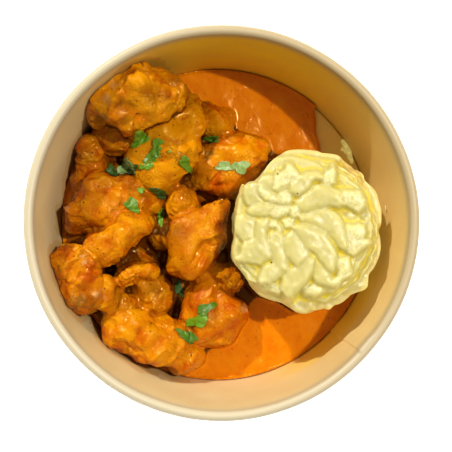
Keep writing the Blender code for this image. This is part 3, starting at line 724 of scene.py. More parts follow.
def coated_material(name, coat, deep, bright, flecks, relief, extra=None, banked=None):
    """Sauced food: the coat, in its banked shades where it climbs, and then the patches of `extra`."""
    made, tree, shader = new_material(name)
    covered = node(tree, "ShaderNodeGroup", node_tree=coat)
    for key, shade, other in zip(("Deep", "Bright"), (deep, bright), banked or (deep, bright)):
        tree.links.new(mix(tree, attribute(tree, "climb"), shade, other), covered.inputs[key])
    # The deep attribute is painted shade, darker deep among the pieces.
    tone, painted_shade = attribute(tree, "tone"), attribute(tree, "deep")
    wire(tree, covered, {"Flecks": flecks, "Tone": tone, "PaintedShade": painted_shade})
    colour = covered.outputs["Color"]
    if extra:
        colour = extra(tree, colour)
    wire(tree, shader, {
        "Base Color": colour, "Roughness": covered.outputs["Roughness"], "Specular IOR Level": 0.42,
        "Specular Tint": (1.0, 0.62, 0.2, 1.0),
    })
    bumped(tree, shader, covered.outputs["Height"], relief)
    return made


def meat_patches(tree, colour):
    """Browned and bare patches of chicken showing through the coat, ragged at their edges."""
    place = node(tree, "ShaderNodeTexCoord").outputs["Object"]
    ragged = math(tree, "SUBTRACT", noise(tree, place, 480.0, 5.0, 0.7), 0.5)
    for name, shade in (("browned", (0.17, 0.075, 0.008)), ("bare", (0.50, 0.24, 0.08))):
        amount = math(tree, "ADD", attribute(tree, name), math(tree, "MULTIPLY", ragged, 2.6))
        colour = mix(tree, ramp(tree, amount, 0.45, 1.1, 0.0, 0.75), colour, shade)
    return colour


def mash_material():
    """Pale yellow mash, faintly mottled, moist and a little translucent, with painted shade in hollow places
    and painted glow.
    """
    made, tree, shader = new_material("mash_looks")
    place = node(tree, "ShaderNodeTexCoord").outputs["Object"]
    broad = noise(tree, place, 120.0, 3.0)
    fine = noise(tree, place, 1300.0, 4.0, 0.6)
    colour = mix(tree, ramp(tree, broad, 0.3, 0.7), (0.46, 0.405, 0.14), (0.455, 0.41, 0.16))
    # Painted shade: more orange on the low turns, a deeper yellow in hollow places.
    painted_low_shade, painted_hollow_yellow, torn_and_highlit = (0.55, 0.36, 0.09), (0.63, 0.49, 0.05), (0.60, 0.56, 0.30)
    height = node(tree, "ShaderNodeSeparateXYZ", {0: place}).outputs["Z"]
    colour = mix(tree, ramp(tree, height, 41.0 * MM, 49.5 * MM, 0.75, 0.0), colour, painted_low_shade)
    hollow = attribute(tree, "hollow")
    colour = mix(tree, ramp(tree, hollow, 0.0, 1.0), colour, painted_hollow_yellow)
    # Torn places paler, partly their own rougher surface and partly a painted highlight.
    torn = math(tree, "MULTIPLY", attribute(tree, "torn"), ramp(tree, fine, 0.35, 0.65, 0.2, 1.0))
    colour = mix(tree, torn, colour, torn_and_highlit)
    # Painted light: the mash glows a little all over, more in hollow places and on thin edges, for light
    # shining through it.
    glow = mix(tree, hollow, (0.14, 0.117, 0.026), (0.20, 0.152, 0.0))
    glow = mix(tree, attribute(tree, "thin"), glow, (0.22, 0.19, 0.06))
    wire(tree, shader, {
        "Base Color": colour, "Roughness": ramp(tree, fine, 0.3, 0.7, 0.26, 0.44), "Emission Color": glow,
        "Emission Strength": 1.0, "Subsurface Weight": 0.8, "Subsurface Radius": (1.0, 0.85, 0.25),
        "Subsurface Scale": 5.0 * MM,
    })
    bumped(tree, shader, fine, 0.09)
    return made


def paper_material():
    """Kraft paper: tan with fine fibres, a soft sheen and food stains; painted light tints its sides and pales
    its rim.
    """
    made, tree, shader = new_material("kraft_paper_looks")
    place = node(tree, "ShaderNodeTexCoord").outputs["Object"]
    fibres = noise(tree, place, 1500.0, 3.0, 0.7)
    cloud = noise(tree, place, 60.0, 2.0)
    shaded_tan, warm, bounce_orange = (0.74, 0.60, 0.31), (0.82, 0.58, 0.22), (0.96, 0.64, 0.03)
    plain, fibre, oily = (0.50, 0.37, 0.20), (0.45, 0.27, 0.08), (0.62, 0.30, 0.02)
    # Painted light: shaded and sunlit tans by side, then the orange bounce where it falls.
    tan = mix(tree, attribute(tree, "warmth"), shaded_tan, warm)
    tan = mix(tree, attribute(tree, "glow"), tan, bounce_orange)
    tan = mix(tree, attribute(tree, "outside"), tan, plain)
    mottle = math(tree, "ADD", math(tree, "MULTIPLY", fibres, 0.5), math(tree, "MULTIPLY", cloud, 0.5))
    tan = mix(tree, ramp(tree, mottle, 0.3, 0.7, 0.22, 0.0), tan, fibre)
    height = node(tree, "ShaderNodeSeparateXYZ", {0: place}).outputs["Z"]
    # Painted light on the rim: paler where the paper curls over to face up, in a sunlit and a shaded copy.
    rim = ramp(tree, height, (BOWL_HEIGHT - 8.0) * MM, (BOWL_HEIGHT - 0.5) * MM)
    pale = mix(tree, attribute(tree, "warmth"), (0.55, 0.475, 0.315), (0.445, 0.345, 0.187))
    tan = mix(tree, rim, tan, pale)
    ragged = math(tree, "MULTIPLY", math(tree, "SUBTRACT", noise(tree, place, 250.0, 4.0, 0.6), 0.5), 0.8)
    stain = math(tree, "ADD", attribute(tree, "stain"), ragged)
    tan = mix(tree, ramp(tree, stain, 0.3, 1.0, 0.0, 0.45), tan, oily)
    wire(tree, shader, {"Base Color": tan, "Roughness": ramp(tree, cloud, 0.3, 0.7, 0.38, 0.5)})
    bumped(tree, shader, fibres, 0.05)
    return made


def leaf_material():
    """Coriander: from pale to dark green by how dark each leaf is given, with darker veins and a waxy surface.
    """
    made, tree, shader = new_material("coriander_looks")
    place = node(tree, "ShaderNodeTexCoord").outputs["Object"]
    blotch = noise(tree, place, 500.0, 3.0, 0.6)
    shade = attribute(tree, "shade")
    pale, fresh = (0.26, 0.37, 0.12), (0.125, 0.27, 0.006)
    dark, veins = (0.025, 0.075, 0.008), (0.045, 0.13, 0.006)
    green = mix(tree, ramp(tree, shade, 0.0, 0.45), pale, fresh)
    green = mix(tree, ramp(tree, shade, 0.45, 1.0), green, dark)
    green = mix(tree, ramp(tree, blotch, 0.45, 0.75, 0.0, 0.5), green, veins)
    wire(tree, shader, {"Base Color": green, "Roughness": 0.38})
    bumped(tree, shader, blotch, 0.15)
    return made


def floor_material():
    """White studio floor that keeps a faint glow, so that the bowl's own shadow stays light."""
    made, tree, shader = new_material("studio_white")
    wire(tree, shader, {
        "Base Color": (0.9, 0.9, 0.9, 1.0), "Roughness": 0.8, "Emission Color": (1.0, 1.0, 1.0, 1.0),
        "Emission Strength": 0.75,
    })
    return made


# --------------------------------------------------------------------------------------------------
# Bowl
# --------------------------------------------------------------------------------------------------


def sheet_outline(path):
    """Outline of a sheet of paper whose middle follows the path: one face out and the other back."""
    ahead = np.diff(path, axis=0)
    ahead /= np.linalg.norm(ahead, axis=1, keepdims=True)
    across = np.stack([-ahead[:, 1], ahead[:, 0]], axis=1)
    before = np.vstack([across[:1], across])
    after = np.vstack([across, across[-1:]])
    mitre = before + after
    mitre /= (mitre * after).sum(axis=1, keepdims=True)
    side = mitre * PAPER / 2
    return np.vstack([path + side, (path - side)[::-1]])


def wall_path():
    """Middle of the wall's sheet: hem up inside, fold on the table, wall, and the curl of the rim."""
    middle = PAPER / 2
    slot = 2 * FIT_GAP + 2 * PAPER
    curl = CURL_RADIUS - middle
    rim_x = RIM_DIAMETER / 2 - CURL_RADIUS
    rim_z = BOWL_HEIGHT - CURL_RADIUS
    wall_foot = wall_inside(0) + middle
    hem_foot = wall_foot - slot
    path = [
        (wall_inside(HEM_TOP) + middle - slot, HEM_TOP),
        (hem_foot + wall_inside(FOLD) - wall_inside(0), FOLD + middle),
        (hem_foot + FOLD, middle),
        (wall_foot - FOLD, middle),
    ]
    path += [(wall_inside(z) + middle, z) for z in np.linspace(FOLD + middle, rim_z - 1.0, WALL_ROWS)]
    turns = np.radians(np.linspace(180.0, 180.0 - CURL_TURN, CURL_ROWS))
    path += [(rim_x + curl * np.cos(a), rim_z + curl * np.sin(a)) for a in turns]
    return np.array(path)


def bowl_turns():
    """Angles round the bowl, closer together at the glued seam."""
    seam = np.radians(SEAM_AT)
    even = np.linspace(0, 2 * np.pi, BOWL_STEPS, endpoint=False) + seam + 0.012
    close = seam + np.radians(SEAM_EDGE)
    return np.sort(np.concatenate([even % (2 * np.pi), close % (2 * np.pi)]))


def turned(outline, turns):
    """Closed outline of (radius, height) carried round Z, with a slightly uneven round and a lapped seam."""
    radius, height = outline.T
    turn = turns[:, None]
    part = smoothstep(10.0, BOWL_HEIGHT, height)[None]
    uneven = 0.12 * np.sin(3 * turn + 0.7) + 0.08 * np.sin(5 * turn + 2.0) + 0.05 * np.sin(11 * turn)
    past_seam = (np.degrees(turn) - SEAM_AT) % 360.0
    lap = smoothstep(0.0, SEAM_EDGE[-1], past_seam) * (1 - smoothstep(0.5 * SEAM_LAP, SEAM_LAP, past_seam))
    step = smoothstep(7.0, 9.0, height) * smoothstep(RIM_DIAMETER / 2 - 1.5, RIM_DIAMETER / 2 - 3.5, radius)
    round_ = radius[None] + uneven * part - SEAM_STEP * lap * step[None]
    return polar(round_, turn, height[None] + 0.12 * np.sin(2 * turn + 1.0) * part * part)


def stain_of(points, heap):
    """Film of sauce on the wall: strongest at the food that leans on it and gone a few millimetres above."""
    level = read_map(widened(heap, 4.0), 0.965 * points[:, :2])
    inner = np.hypot(points[:, 0], points[:, 1]) < wall_inside(points[:, 2]) + 0.1
    return np.exp(-np.maximum(points[:, 2] - level, 0.0) / STAIN_RISE) * inner * (level > FLOOR_TOP + 6.0)


def toned(points, middle, half):
    """How near a point lies to one side of the bowl: 1 in the middle direction, 0 past half the span."""
    away = (np.degrees(np.arctan2(points[:, 1], points[:, 0])) - middle + 180.0) % 360.0 - 180.0
    return 1 - smoothstep(0.25 * half, half, np.abs(away))


def make_wall(paper, heap):
    """Wall of the bowl: its sheet carried round, stained beside the food, with painted bounce light and sunlit
    tint.
    """
    outline = sheet_outline(wall_path())
    rings = turned(outline, bowl_turns())
    points = rings.reshape(-1, 3)
    index = np.arange(len(points)).reshape(rings.shape[:2])
    mesh = new_mesh("bowl_wall_paper", points, [grid_faces(index.T, wrap_rows=True)[:, ::-1]])
    # Painted bounce light: orange at the back, and on the low front wall where the swirl casts its shadow.
    low = smoothstep(36.0, 22.0, points[:, 2])
    painted_bounce = np.maximum(toned(points, *BOUNCE_LIT_BACK), 0.8 * toned(points, *BOUNCE_LIT_FRONT) * low)
    outer = outline[:, 0] > wall_inside(outline[:, 1]) + 0.6 * PAPER
    outside = np.tile(outer * smoothstep(57.5, 50.0, outline[:, 1]), len(rings))
    inside = 1 - outside
    # Painted light: the inner face takes the sunlit tint towards the right and the shaded one away from it.
    warmth = 0.5 + (toned(points, *SUNLIT_SIDE) - 0.5) * inside
    add_piece(
        "bowl_wall_paper", mesh, paper, "kraft_paper", "bowl_wall",
        stain=stain_of(points, heap), warmth=warmth, glow=painted_bounce * inside, outside=outside,
    )
    mesh.set_sharp_from_angle(angle=np.radians(CREASE_ANGLE))


def make_floor(paper):
    """Floor of the bowl: a flat sheet bent down at its edge into a skirt, carried round."""
    outer = [(wall_inside(z) - FIT_GAP, z) for z in np.linspace(FLOOR_TOP - 0.8, SKIRT_END, 8)]
    inner = [(wall_inside(z) - FIT_GAP - PAPER, z) for z in np.linspace(SKIRT_END, FLOOR_TOP - 1.2, 8)]
    edge = outer[0][0]
    bend = [(edge - 0.5 + 0.5 * np.sin(a), FLOOR_TOP - 0.5 + 0.5 * np.cos(a)) for a in np.linspace(0, 1.4, 6)]
    top = [(r, FLOOR_TOP) for r in np.linspace(2.0, edge - 1.0, 50)]
    under = [(r, FLOOR_TOP - PAPER) for r in np.linspace(edge - 1.2, 2.0, 12)]
    profile = np.array(top + bend + outer + inner + under)
    radius, height = profile.T
    rings = polar(radius, bowl_turns()[:, None], height).transpose(1, 0, 2)
    points, faces = closed_skin(rings[::-1], (0, 0, FLOOR_TOP - PAPER), (0, 0, FLOOR_TOP))
    mesh = new_mesh("bowl_floor_paper", points, faces)
    blank = np.zeros(len(points))
    # The bowl's floor takes the full painted sunlit tint and half the painted bounce light.
    add_piece(
        "bowl_floor_paper", mesh, paper, "kraft_paper", "bowl_base",
        stain=blank, warmth=blank + 1, glow=blank + 0.5,
    )
    mesh.set_sharp_from_angle(angle=np.radians(CREASE_ANGLE))


# --------------------------------------------------------------------------------------------------
# Chicken
# --------------------------------------------------------------------------------------------------


def near(points, places):
    """Strongest of some round soft spots, seen from above: 1 in the middle and fading out past the radius."""
    x, y, radius = np.array(places, dtype=float).T
    apart = np.hypot(points[..., 0, None] - x, points[..., 1, None] - y)
    return np.exp(-((apart / radius) ** 2)).max(axis=-1)


def chicken_skin(knots, seed, craggy):
    """Sweep of the piece's solid, with clumps, grain and creases along its outward directions."""
    skin, out, close = sweep(knots, RINGS, SIDES, SQUARENESS)
    lie = np.subtract(knots[-1][:3], knots[0][:3])
    lie = lie / np.linalg.norm(lie)
    drawn = skin - FIBRE_DRAW * (skin @ lie)[..., None] * lie + 0.8 * lumps(skin, 12.0, seed + 15)[..., None]
    rise = MEAT_LUMPS[0][1] * lumps(skin, MEAT_LUMPS[0][0], seed) + 0.5 * lumps(skin, 7.0, seed + 20)
    warped = skin + 2.5 * lumps(skin, 20.0, seed + 30)[..., None]
    ridge = np.exp(-((lumps(warped, RIDGE_SIZE, seed + 40) / RIDGE_WIDTH) ** 2))
    ridge *= smoothstep(-0.5, 0.7, lumps(skin, 23.0, seed + 60))
    rise += RIDGE_HEIGHT * ridge
    stringy = smoothstep(-0.2, 0.9, lumps(skin, 13.0, seed + 16))
    rise += FIBRE_HEIGHT * lumps(drawn, FIBRE_SIZE, seed + 17) * stringy
    rough = craggy * smoothstep(-0.9, 0.8, lumps(skin, 15.0, seed + 700))
    for octave, (size, height) in enumerate(MEAT_LUMPS[1:], 1):
        warped = skin + 0.3 * size * lumps(skin, 1.7 * size, seed + 50 * octave)[..., None]
        clump = 1 - 1.5 * np.exp(-((lumps(warped, 1.8 * size, seed + 100 * octave) / 0.4) ** 2))
        rise += height * clump * (0.2 + rough)
    crease = np.exp(-((lumps(skin, CREASE_SIZE, seed + 900) / CREASE_WIDTH) ** 2))
    crease *= smoothstep(0.2, 1.0, lumps(skin, 19.0, seed + 950))
    rise -= CREASE_DEPTH * crease
    # Tone: random lumps, with painted shade in the creases and painted light on the ridges and the up-facing
    # sides.
    tone = 0.5 + 0.22 * lumps(skin, 7.0, seed + 300) - 0.5 * crease + 0.25 * ridge + 0.35 * (out[..., 2] - 0.4)
    skin = skin + out * (rise * close)[..., None]
    return kept_inside(skin, FLOOR_TOP + MEAT_OFF_FLOOR), tone


def chicken_skins():
    """All the pieces: points, faces and tone of each, by the name of its solid."""
    skins = {}
    for seed, (name, knots) in enumerate(CHICKEN.items()):
        rings, tone = chicken_skin(knots, seed, CRAGGY.get(name, HARDLY_CRAGGY))
        points, faces = closed_skin(rings[1:-1], rings[0, 0], rings[-1, 0])
        skins[name] = points, faces, np.append(tone[1:-1].ravel(), [tone[0, 0], tone[-1, 0]])
    return skins


def make_chicken(skins, finish, gaps, crest):
    """Every piece of chicken, with its tone, painted shade by how deep each point lies, and how browned and
    bare it is.
    """
    for name, (points, faces, tone) in skins.items():
        mesh = new_mesh(name + "_coated", points, faces)
        add_piece(
            name + "_coated", mesh, finish, "sauced_chicken", name,
            tone=tone + PIECE_TONE.get(name, 0.0), deep=painted_shade_depth(points, gaps, crest),
            browned=near(points, BROWNED), bare=near(points, BARE),
        )


# --------------------------------------------------------------------------------------------------
# Mashed potato
# --------------------------------------------------------------------------------------------------


def disc_plan(steps):
    """Even grid over a disc of radius 1: a square grid whose lines bow out to the circle."""
    u, v = np.meshgrid(np.linspace(-1, 1, steps), np.linspace(-1, 1, steps), indexing="ij")
    return np.stack([u * np.sqrt(1 - v**2 / 2), v * np.sqrt(1 - u**2 / 2)], axis=-1)


def mash_reach(turn, softness=1.0):
    """Radius of the swirl's outline in each direction, rounded off more the larger the softness."""
    directions, radii = np.array(MASH_EDGE).T
    shifts = softness * np.array([-6.0, -3.0, 0.0, 3.0, 6.0])
    around = [np.interp(np.degrees(turn) + shift, directions, radii, period=360.0) for shift in shifts]
    return np.mean(around, axis=0)


def mash_middle(height):
    """The swirl leans: above the lower turns its middle moves towards the eye."""
    part = smoothstep(*LEAN_BETWEEN, np.asarray(height, dtype=float))
    return np.stack([MASH_MIDDLE[0] + MASH_LEAN[0] * part, MASH_MIDDLE[1] + MASH_LEAN[1] * part], axis=-1)


def mash_core():
    """Rings of the core's profile, each the outline scaled about the leaning middle."""
    part, height = np.array(CORE_PROFILE).T[:, :, None]
    turn = np.linspace(0, 2 * np.pi, CORE_SIDES, endpoint=False)[None]
    centre = mash_middle(height)
    reach = part * mash_reach(turn)
    rings = polar(reach, turn, FLOOR_TOP + height)
    rings[..., :2] += centre
    return closed_skin(rings, rings[0].mean(axis=0), rings[-1].mean(axis=0))


def mash_rope():
    """One rope of mash piped in rising turns: an oval with small flutes, carried round the outline."""
    turns = len(ROPE_TURNS)
    step = np.linspace(0, 1, ROPE_STEPS * turns)
    part, height, half = along(ROPE_TURNS, step).T
    turn = 2 * np.pi * turns * step + ROPE_START
    centre = mash_middle(height)
    wave = 0.35 * np.sin(9 * turn + 1.3 * height) + 0.3 * np.sin(5.3 * turn)
    across = np.linspace(0, 2 * np.pi, ROPE_SIDES, endpoint=False)[None]
    thick = 1 + 0.08 * np.cos(7 * across + 0.8 * turn[:, None])
    reach = (part * mash_reach(turn) - half + wave)[:, None] + half[:, None] * thick * np.cos(across)
    level = FLOOR_TOP + height[:, None] + half[:, None] * thick * np.sin(across)
    rings = polar(reach, turn[:, None], level)[:, ::-1]
    rings[..., :2] += centre[:, None]
    return closed_skin(rings, rings[0].mean(axis=0), rings[-1].mean(axis=0))


def inside_by(plan, outline):
    """How far each place lies inside a closed outline of straight lines; below 0 outside it."""
    one = np.array(outline)
    side = np.roll(one, -1, axis=0) - one
    away = plan[:, None] - one
    part = np.clip((away * side).sum(axis=-1) / (side**2).sum(axis=-1), 0.0, 1.0)
    apart = np.linalg.norm(away - part[..., None] * side, axis=-1).min(axis=1)
    below, above = one[:, 1] > plan[:, 1:], (one + side)[:, 1] > plan[:, 1:]
    steep = np.where(side[:, 1] == 0, 1e-9, side[:, 1])
    crossed = (below != above) & (plan[:, :1] < one[:, 0] + away[..., 1] * side[:, 0] / steep)
    return np.where(crossed.sum(axis=1) % 2 == 1, apart, -apart)


def patch_level(top, inward, round_, drop, steep):
    """Level of a patch: flat, rounded off over its last `round_` mm, `drop` lower `steep` mm further out."""
    edge = 0.24 * round_ * np.clip(1 - inward / round_, 0.0, 1.0) ** 2
    return top - edge - drop * smoothstep(0.0, steep, -inward) - 4 * np.maximum(-inward - steep, 0.0)


def mash_crown():
    """The swirl's top over a disc: terraces, a low dome and the petals, the highest of them at each place."""
    disc = disc_plan(CROWN_STEPS)
    turn = np.arctan2(disc[..., 1], disc[..., 0])
    plan = (mash_middle(CROWN_LEVEL) + disc * mash_reach(turn, 0.2)[..., None]).reshape(-1, 2)
    flat = np.column_stack([plan, np.zeros(len(plan))])
    part = np.linalg.norm(disc, axis=-1).ravel()
    out = np.clip((part - 0.9) / 0.1, 0.0, 1.0)
    level = 31.0 + 12.5 * np.sqrt(1 - out**2) + 0.4 * lumps(flat, 9.0, 41)
    torn = np.zeros(len(plan))
    for count, (top, outline) in enumerate(TIERS.values()):
        inward = inside_by(plan, outline) + 0.3 * lumps(flat, 4.0, 42 + count)
        leaves = 0.3 * np.sin(2.6 * inward + 2.0 * lumps(flat, 14.0, 46))
        leaves *= smoothstep(7.0, 3.0, np.abs(inward))
        level = np.maximum(level, patch_level(top + leaves, inward - 0.3, *TIER_EDGE))
        level -= 1.3 * np.exp(-(((inward + 1.0) / 0.7) ** 2))
    level += 0.3 * lumps(flat, 7.0, 48)
    away = np.hypot(plan[:, 0] - MASH_EYE[0], plan[:, 1] - MASH_EYE[1])
    dome = DOME_TOP - DOME_FALL * (away / DOME_FALL_OVER) ** 2
    level = np.where(away < DOME_REACH, np.maximum(level, dome), level)
    for count, (top, rough, outline) in enumerate(CROWN.values()):
        inward = inside_by(plan, outline) + 0.12 * lumps(flat, 2.2, 50 + count)
        tilt = 0.035 * (plan - np.mean(outline, axis=0)) @ (np.cos(2.4 * count), np.sin(2.4 * count))
        level = np.maximum(level, patch_level(top + 0.1 + tilt, inward + 0.3, *PETAL_EDGE))
        torn = np.maximum(torn, rough * smoothstep(-0.3, 0.8, inward))
    level += 0.10 * lumps(flat, 5.0, 43) + 0.05 * lumps(flat, 2.3, 44)
    level += torn * (0.14 * lumps(flat, 2.6, 45) + 0.04 * lumps(flat, 1.2, 47))
    middle = mash_middle(CROWN_LEVEL)
    points, faces = disc_skin(np.column_stack([plan, level]), CROWN_STEPS, 0.94, (*middle, CROWN_FOOT))
    mesh = new_mesh("mash_crown", points, faces)
    points = relaxed(mesh, points, CROWN_ROUNDS)
    return mesh, points, np.append(torn, np.zeros(len(points) - len(torn)))


def mash_lobes():
    """Skins of the torn lobes, each swept through its places."""
    skins = []
    for knots in LOW_LOBES:
        rings, _, _ = sweep(knots, LOBE_RINGS, LOBE_SIDES, LOBE_SQUARENESS)
        skins.append(closed_skin(rings[1:-1], rings[0, 0], rings[-1, 0]))
    return skins


def merged_by_voxels(skins, voxel, name):
    """One closed skin round all the given ones: joined, then remeshed in small cubes."""
    points, faces = joined(skins)
    made = bpy.data.objects.new(name, new_mesh(name, points, faces))
    bpy.context.scene.collection.objects.link(made)
    remesh = made.modifiers.new("remesh", "REMESH")
    remesh.mode = "VOXEL"
    remesh.voxel_size = voxel * MM
    evaluated = made.evaluated_get(bpy.context.evaluated_depsgraph_get())
    mesh = bpy.data.meshes.new_from_object(evaluated)
    bpy.data.objects.remove(made)
    mesh.name = name
    return mesh


def mesh_points(mesh):
    """The mesh's points in mm."""
    values = np.empty(3 * len(mesh.vertices), np.float32)
    mesh.vertices.foreach_get("co", values)
    return values.reshape(-1, 3).astype(float) / MM


def mesh_normals(mesh):
    """The outward direction at each of the mesh's points."""
    values = np.empty(3 * len(mesh.vertices), np.float32)
    mesh.vertex_normals.foreach_get("vector", values)
    return values.reshape(-1, 3).astype(float)


def move_points(mesh, points):
    """The mesh's points moved to new places in mm."""
    mesh.vertices.foreach_set("co", (points * MM).astype(np.float32).ravel())
    mesh.update()


def relaxed(mesh, points, rounds):
    """Each point moved half way to the mean of its neighbours, some rounds over."""
    edges = np.empty(2 * len(mesh.edges), np.int32)
    mesh.edges.foreach_get("vertices", edges)
    one, other = edges.reshape(-1, 2).T
    count = np.bincount(one, minlength=len(points)) + np.bincount(other, minlength=len(points))
    for _ in range(rounds):
        total = [
            np.bincount(one, line[other], len(line)) + np.bincount(other, line[one], len(line))
            for line in points.T
        ]
        points = points + 0.5 * (np.stack(total, axis=-1) / count[:, None] - points)
    return points


def with_hollows(mesh, points):
    """The mesh moved to the points, and how much each lies in a hollow and on a thin edge, each 0 to 1."""
    move_points(mesh, points)
    hollow = ((relaxed(mesh, points, HOLLOW_ROUNDS) - points) * mesh_normals(mesh)).sum(axis=-1)
    return {"hollow": smoothstep(0.05, 1.0, hollow), "thin": smoothstep(0.02, 0.4, -hollow)}


def mash_body():
    """The swirl below its crown: rope, core and lobes merged, softened and lightly roughened."""
    mesh = merged_by_voxels([mash_core(), mash_rope(), *mash_lobes()], MASH_VOXEL, "mash_body")
    points = relaxed(mesh, mesh_points(mesh), BODY_ROUNDS)
    move_points(mesh, points)
    rough = 0.16 * lumps(points, 5.5, 31) + 0.05 * lumps(points, 2.2, 32)
    return mesh, kept_inside(points + mesh_normals(mesh) * rough[:, None])


def make_mash(finish):
    """Both pieces of the swirl; gives their points for the sauce that rises round them."""
    crown, crown_points, torn = mash_crown()
    body, body_points = mash_body()
    add_piece(
        "mash_crown", crown, finish, "mashed_potato", "mashed_potato",
        **with_hollows(crown, crown_points), torn=torn,
    )
    add_piece(
        "mash_body", body, finish, "mashed_potato", "mashed_potato",
        **with_hollows(body, body_points), torn=0 * body_points[:, 0],
    )
    return np.vstack([crown_points, body_points])


# --------------------------------------------------------------------------------------------------
# Sauce
# --------------------------------------------------------------------------------------------------


def shifted(levels, across, down):
    """The grid of heights moved by whole cells, its edges repeated."""
    padded = np.pad(levels, MOST_SHIFT, mode="edge")
    rows, columns = levels.shape
    down_from, across_from = MOST_SHIFT + across, MOST_SHIFT + down
    return padded[down_from : down_from + rows, across_from : across_from + columns]


def widened(levels, radius):
    """The highest of the heights no more than the radius away, counted in cells."""
    return np.max([shifted(levels, i, j) for i, j in offsets(radius)], axis=0)


def narrowed(levels, radius):
    """The lowest of the heights no more than the radius away, counted in cells."""
    return np.min([shifted(levels, i, j) for i, j in offsets(radius)], axis=0)


def offsets(radius):
    """Steps from a cell to every cell no more than the radius away, counted in cells."""
    reach = int(np.ceil(radius))
    near_cells = range(-reach, reach + 1)
    return [(i, j) for i in near_cells for j in near_cells if np.hypot(i, j) <= radius]


def height_map(points, base):
    """Highest point over each cell, with gaps between points filled from the cells beside them."""
    count = int(2 * HALF_SPAN / CELL) + 1
    levels = np.full((count, count), base)
    cells = np.round((points[:, :2] + HALF_SPAN) / CELL).astype(int)
    np.maximum.at(levels, tuple(np.clip(cells, 0, count - 1).T), points[:, 2])
    return narrowed(widened(levels, 1.5), 1.0)


def rolled_over(levels, radius):
    """Surface that a ball rolled over the heights touches: it bridges cracks and rounds inner corners."""
    cells = offsets(radius / CELL)
    drop = [np.sqrt(max(radius**2 - (np.hypot(i, j) * CELL) ** 2, 0.0)) for i, j in cells]
    over = np.max([shifted(levels, i, j) + d for (i, j), d in zip(cells, drop)], axis=0)
    return np.min([shifted(over, i, j) - d for (i, j), d in zip(cells, drop)], axis=0)


def read_map(levels, plan):
    """Heights at any places in plan, straight between the cells."""
    place = np.clip((plan + HALF_SPAN) / CELL, 0, len(levels) - 1.001)
    low = place.astype(int)
    part = place - low
    i, j = low[..., 0], low[..., 1]
    a, b = part[..., 0], part[..., 1]
    return (levels[i, j] * (1 - a) + levels[i + 1, j] * a) * (1 - b) + (
        levels[i, j + 1] * (1 - a) + levels[i + 1, j + 1] * a
    ) * b


def shore_reach(turn):
    """How far the sauce reaches in each direction: to the wall, or to its edge on the bare floor."""
    degrees = (np.degrees(turn) + 180.0) % 360.0 - 180.0
    shore_turn, shore_radius = np.array(sorted(SHORE)).T
    wall = wall_inside(SAUCE_LEVEL) - WALL_GAP
    shore = np.interp(degrees, shore_turn, shore_radius)
    inside = (degrees > shore_turn[0]) & (degrees < shore_turn[-1])
    return np.where(inside, np.minimum(shore, wall), wall)


def sauce_bed(plan):
    """Level of the sauce before it climbs: flat in the open, and a lumpy mound under the heap of chicken."""
    across = (plan - np.array(HEAP_MIDDLE)) / np.array(HEAP_REACH)
    mound = np.maximum(0.0, 1 - (across**2).sum(axis=-1))
    flat = np.concatenate([plan, np.zeros_like(plan[..., :1])], axis=-1)
    swell = 0.12 * lumps(flat, 22.0, 61) + 0.05 * lumps(flat, 8.0, 62) + 0.02 * lumps(flat, 3.0, 63)
    return SAUCE_LEVEL + swell + mound * (HEAP_DEPTH + 1.2 * lumps(flat, 9.0, 64))


def painted_shade_depth(points, gaps, crest):
    """Painted shade by how far down among the pieces a point lies: 0 on tops and in the open, 1 deep in narrow
    gaps.
    """
    narrow = smoothstep(*NARROW_GAP, read_map(gaps, points[:, :2]) - points[:, 2])
    wide = smoothstep(*WIDE_DIP, read_map(crest, points[:, :2]) - points[:, 2])
    deep = np.maximum(narrow, 0.45 * wide * (points[:, 2] > SAUCE_LEVEL + 1.0))
    return np.maximum(deep, 0.5 * near(points, PAINTED_SHADE_SPOTS)) * (1 - 0.8 * near(points, SHADE_LIFTED_SPOTS))


def food_maps(chicken, mash):
    """Over each cell: highest chicken, mash, food with narrow gaps closed over, and chicken some way round."""
    heap = height_map(chicken, FLOOR_TOP)
    swirl = height_map(mash, FLOOR_TOP)
    gaps = narrowed(widened(np.maximum(heap, swirl), GAP_HALF / CELL), GAP_HALF / CELL)
    crest = widened(widened(np.maximum(heap, FLOOR_TOP), CREST_REACH), CREST_REACH)
    return heap, swirl, gaps, crest


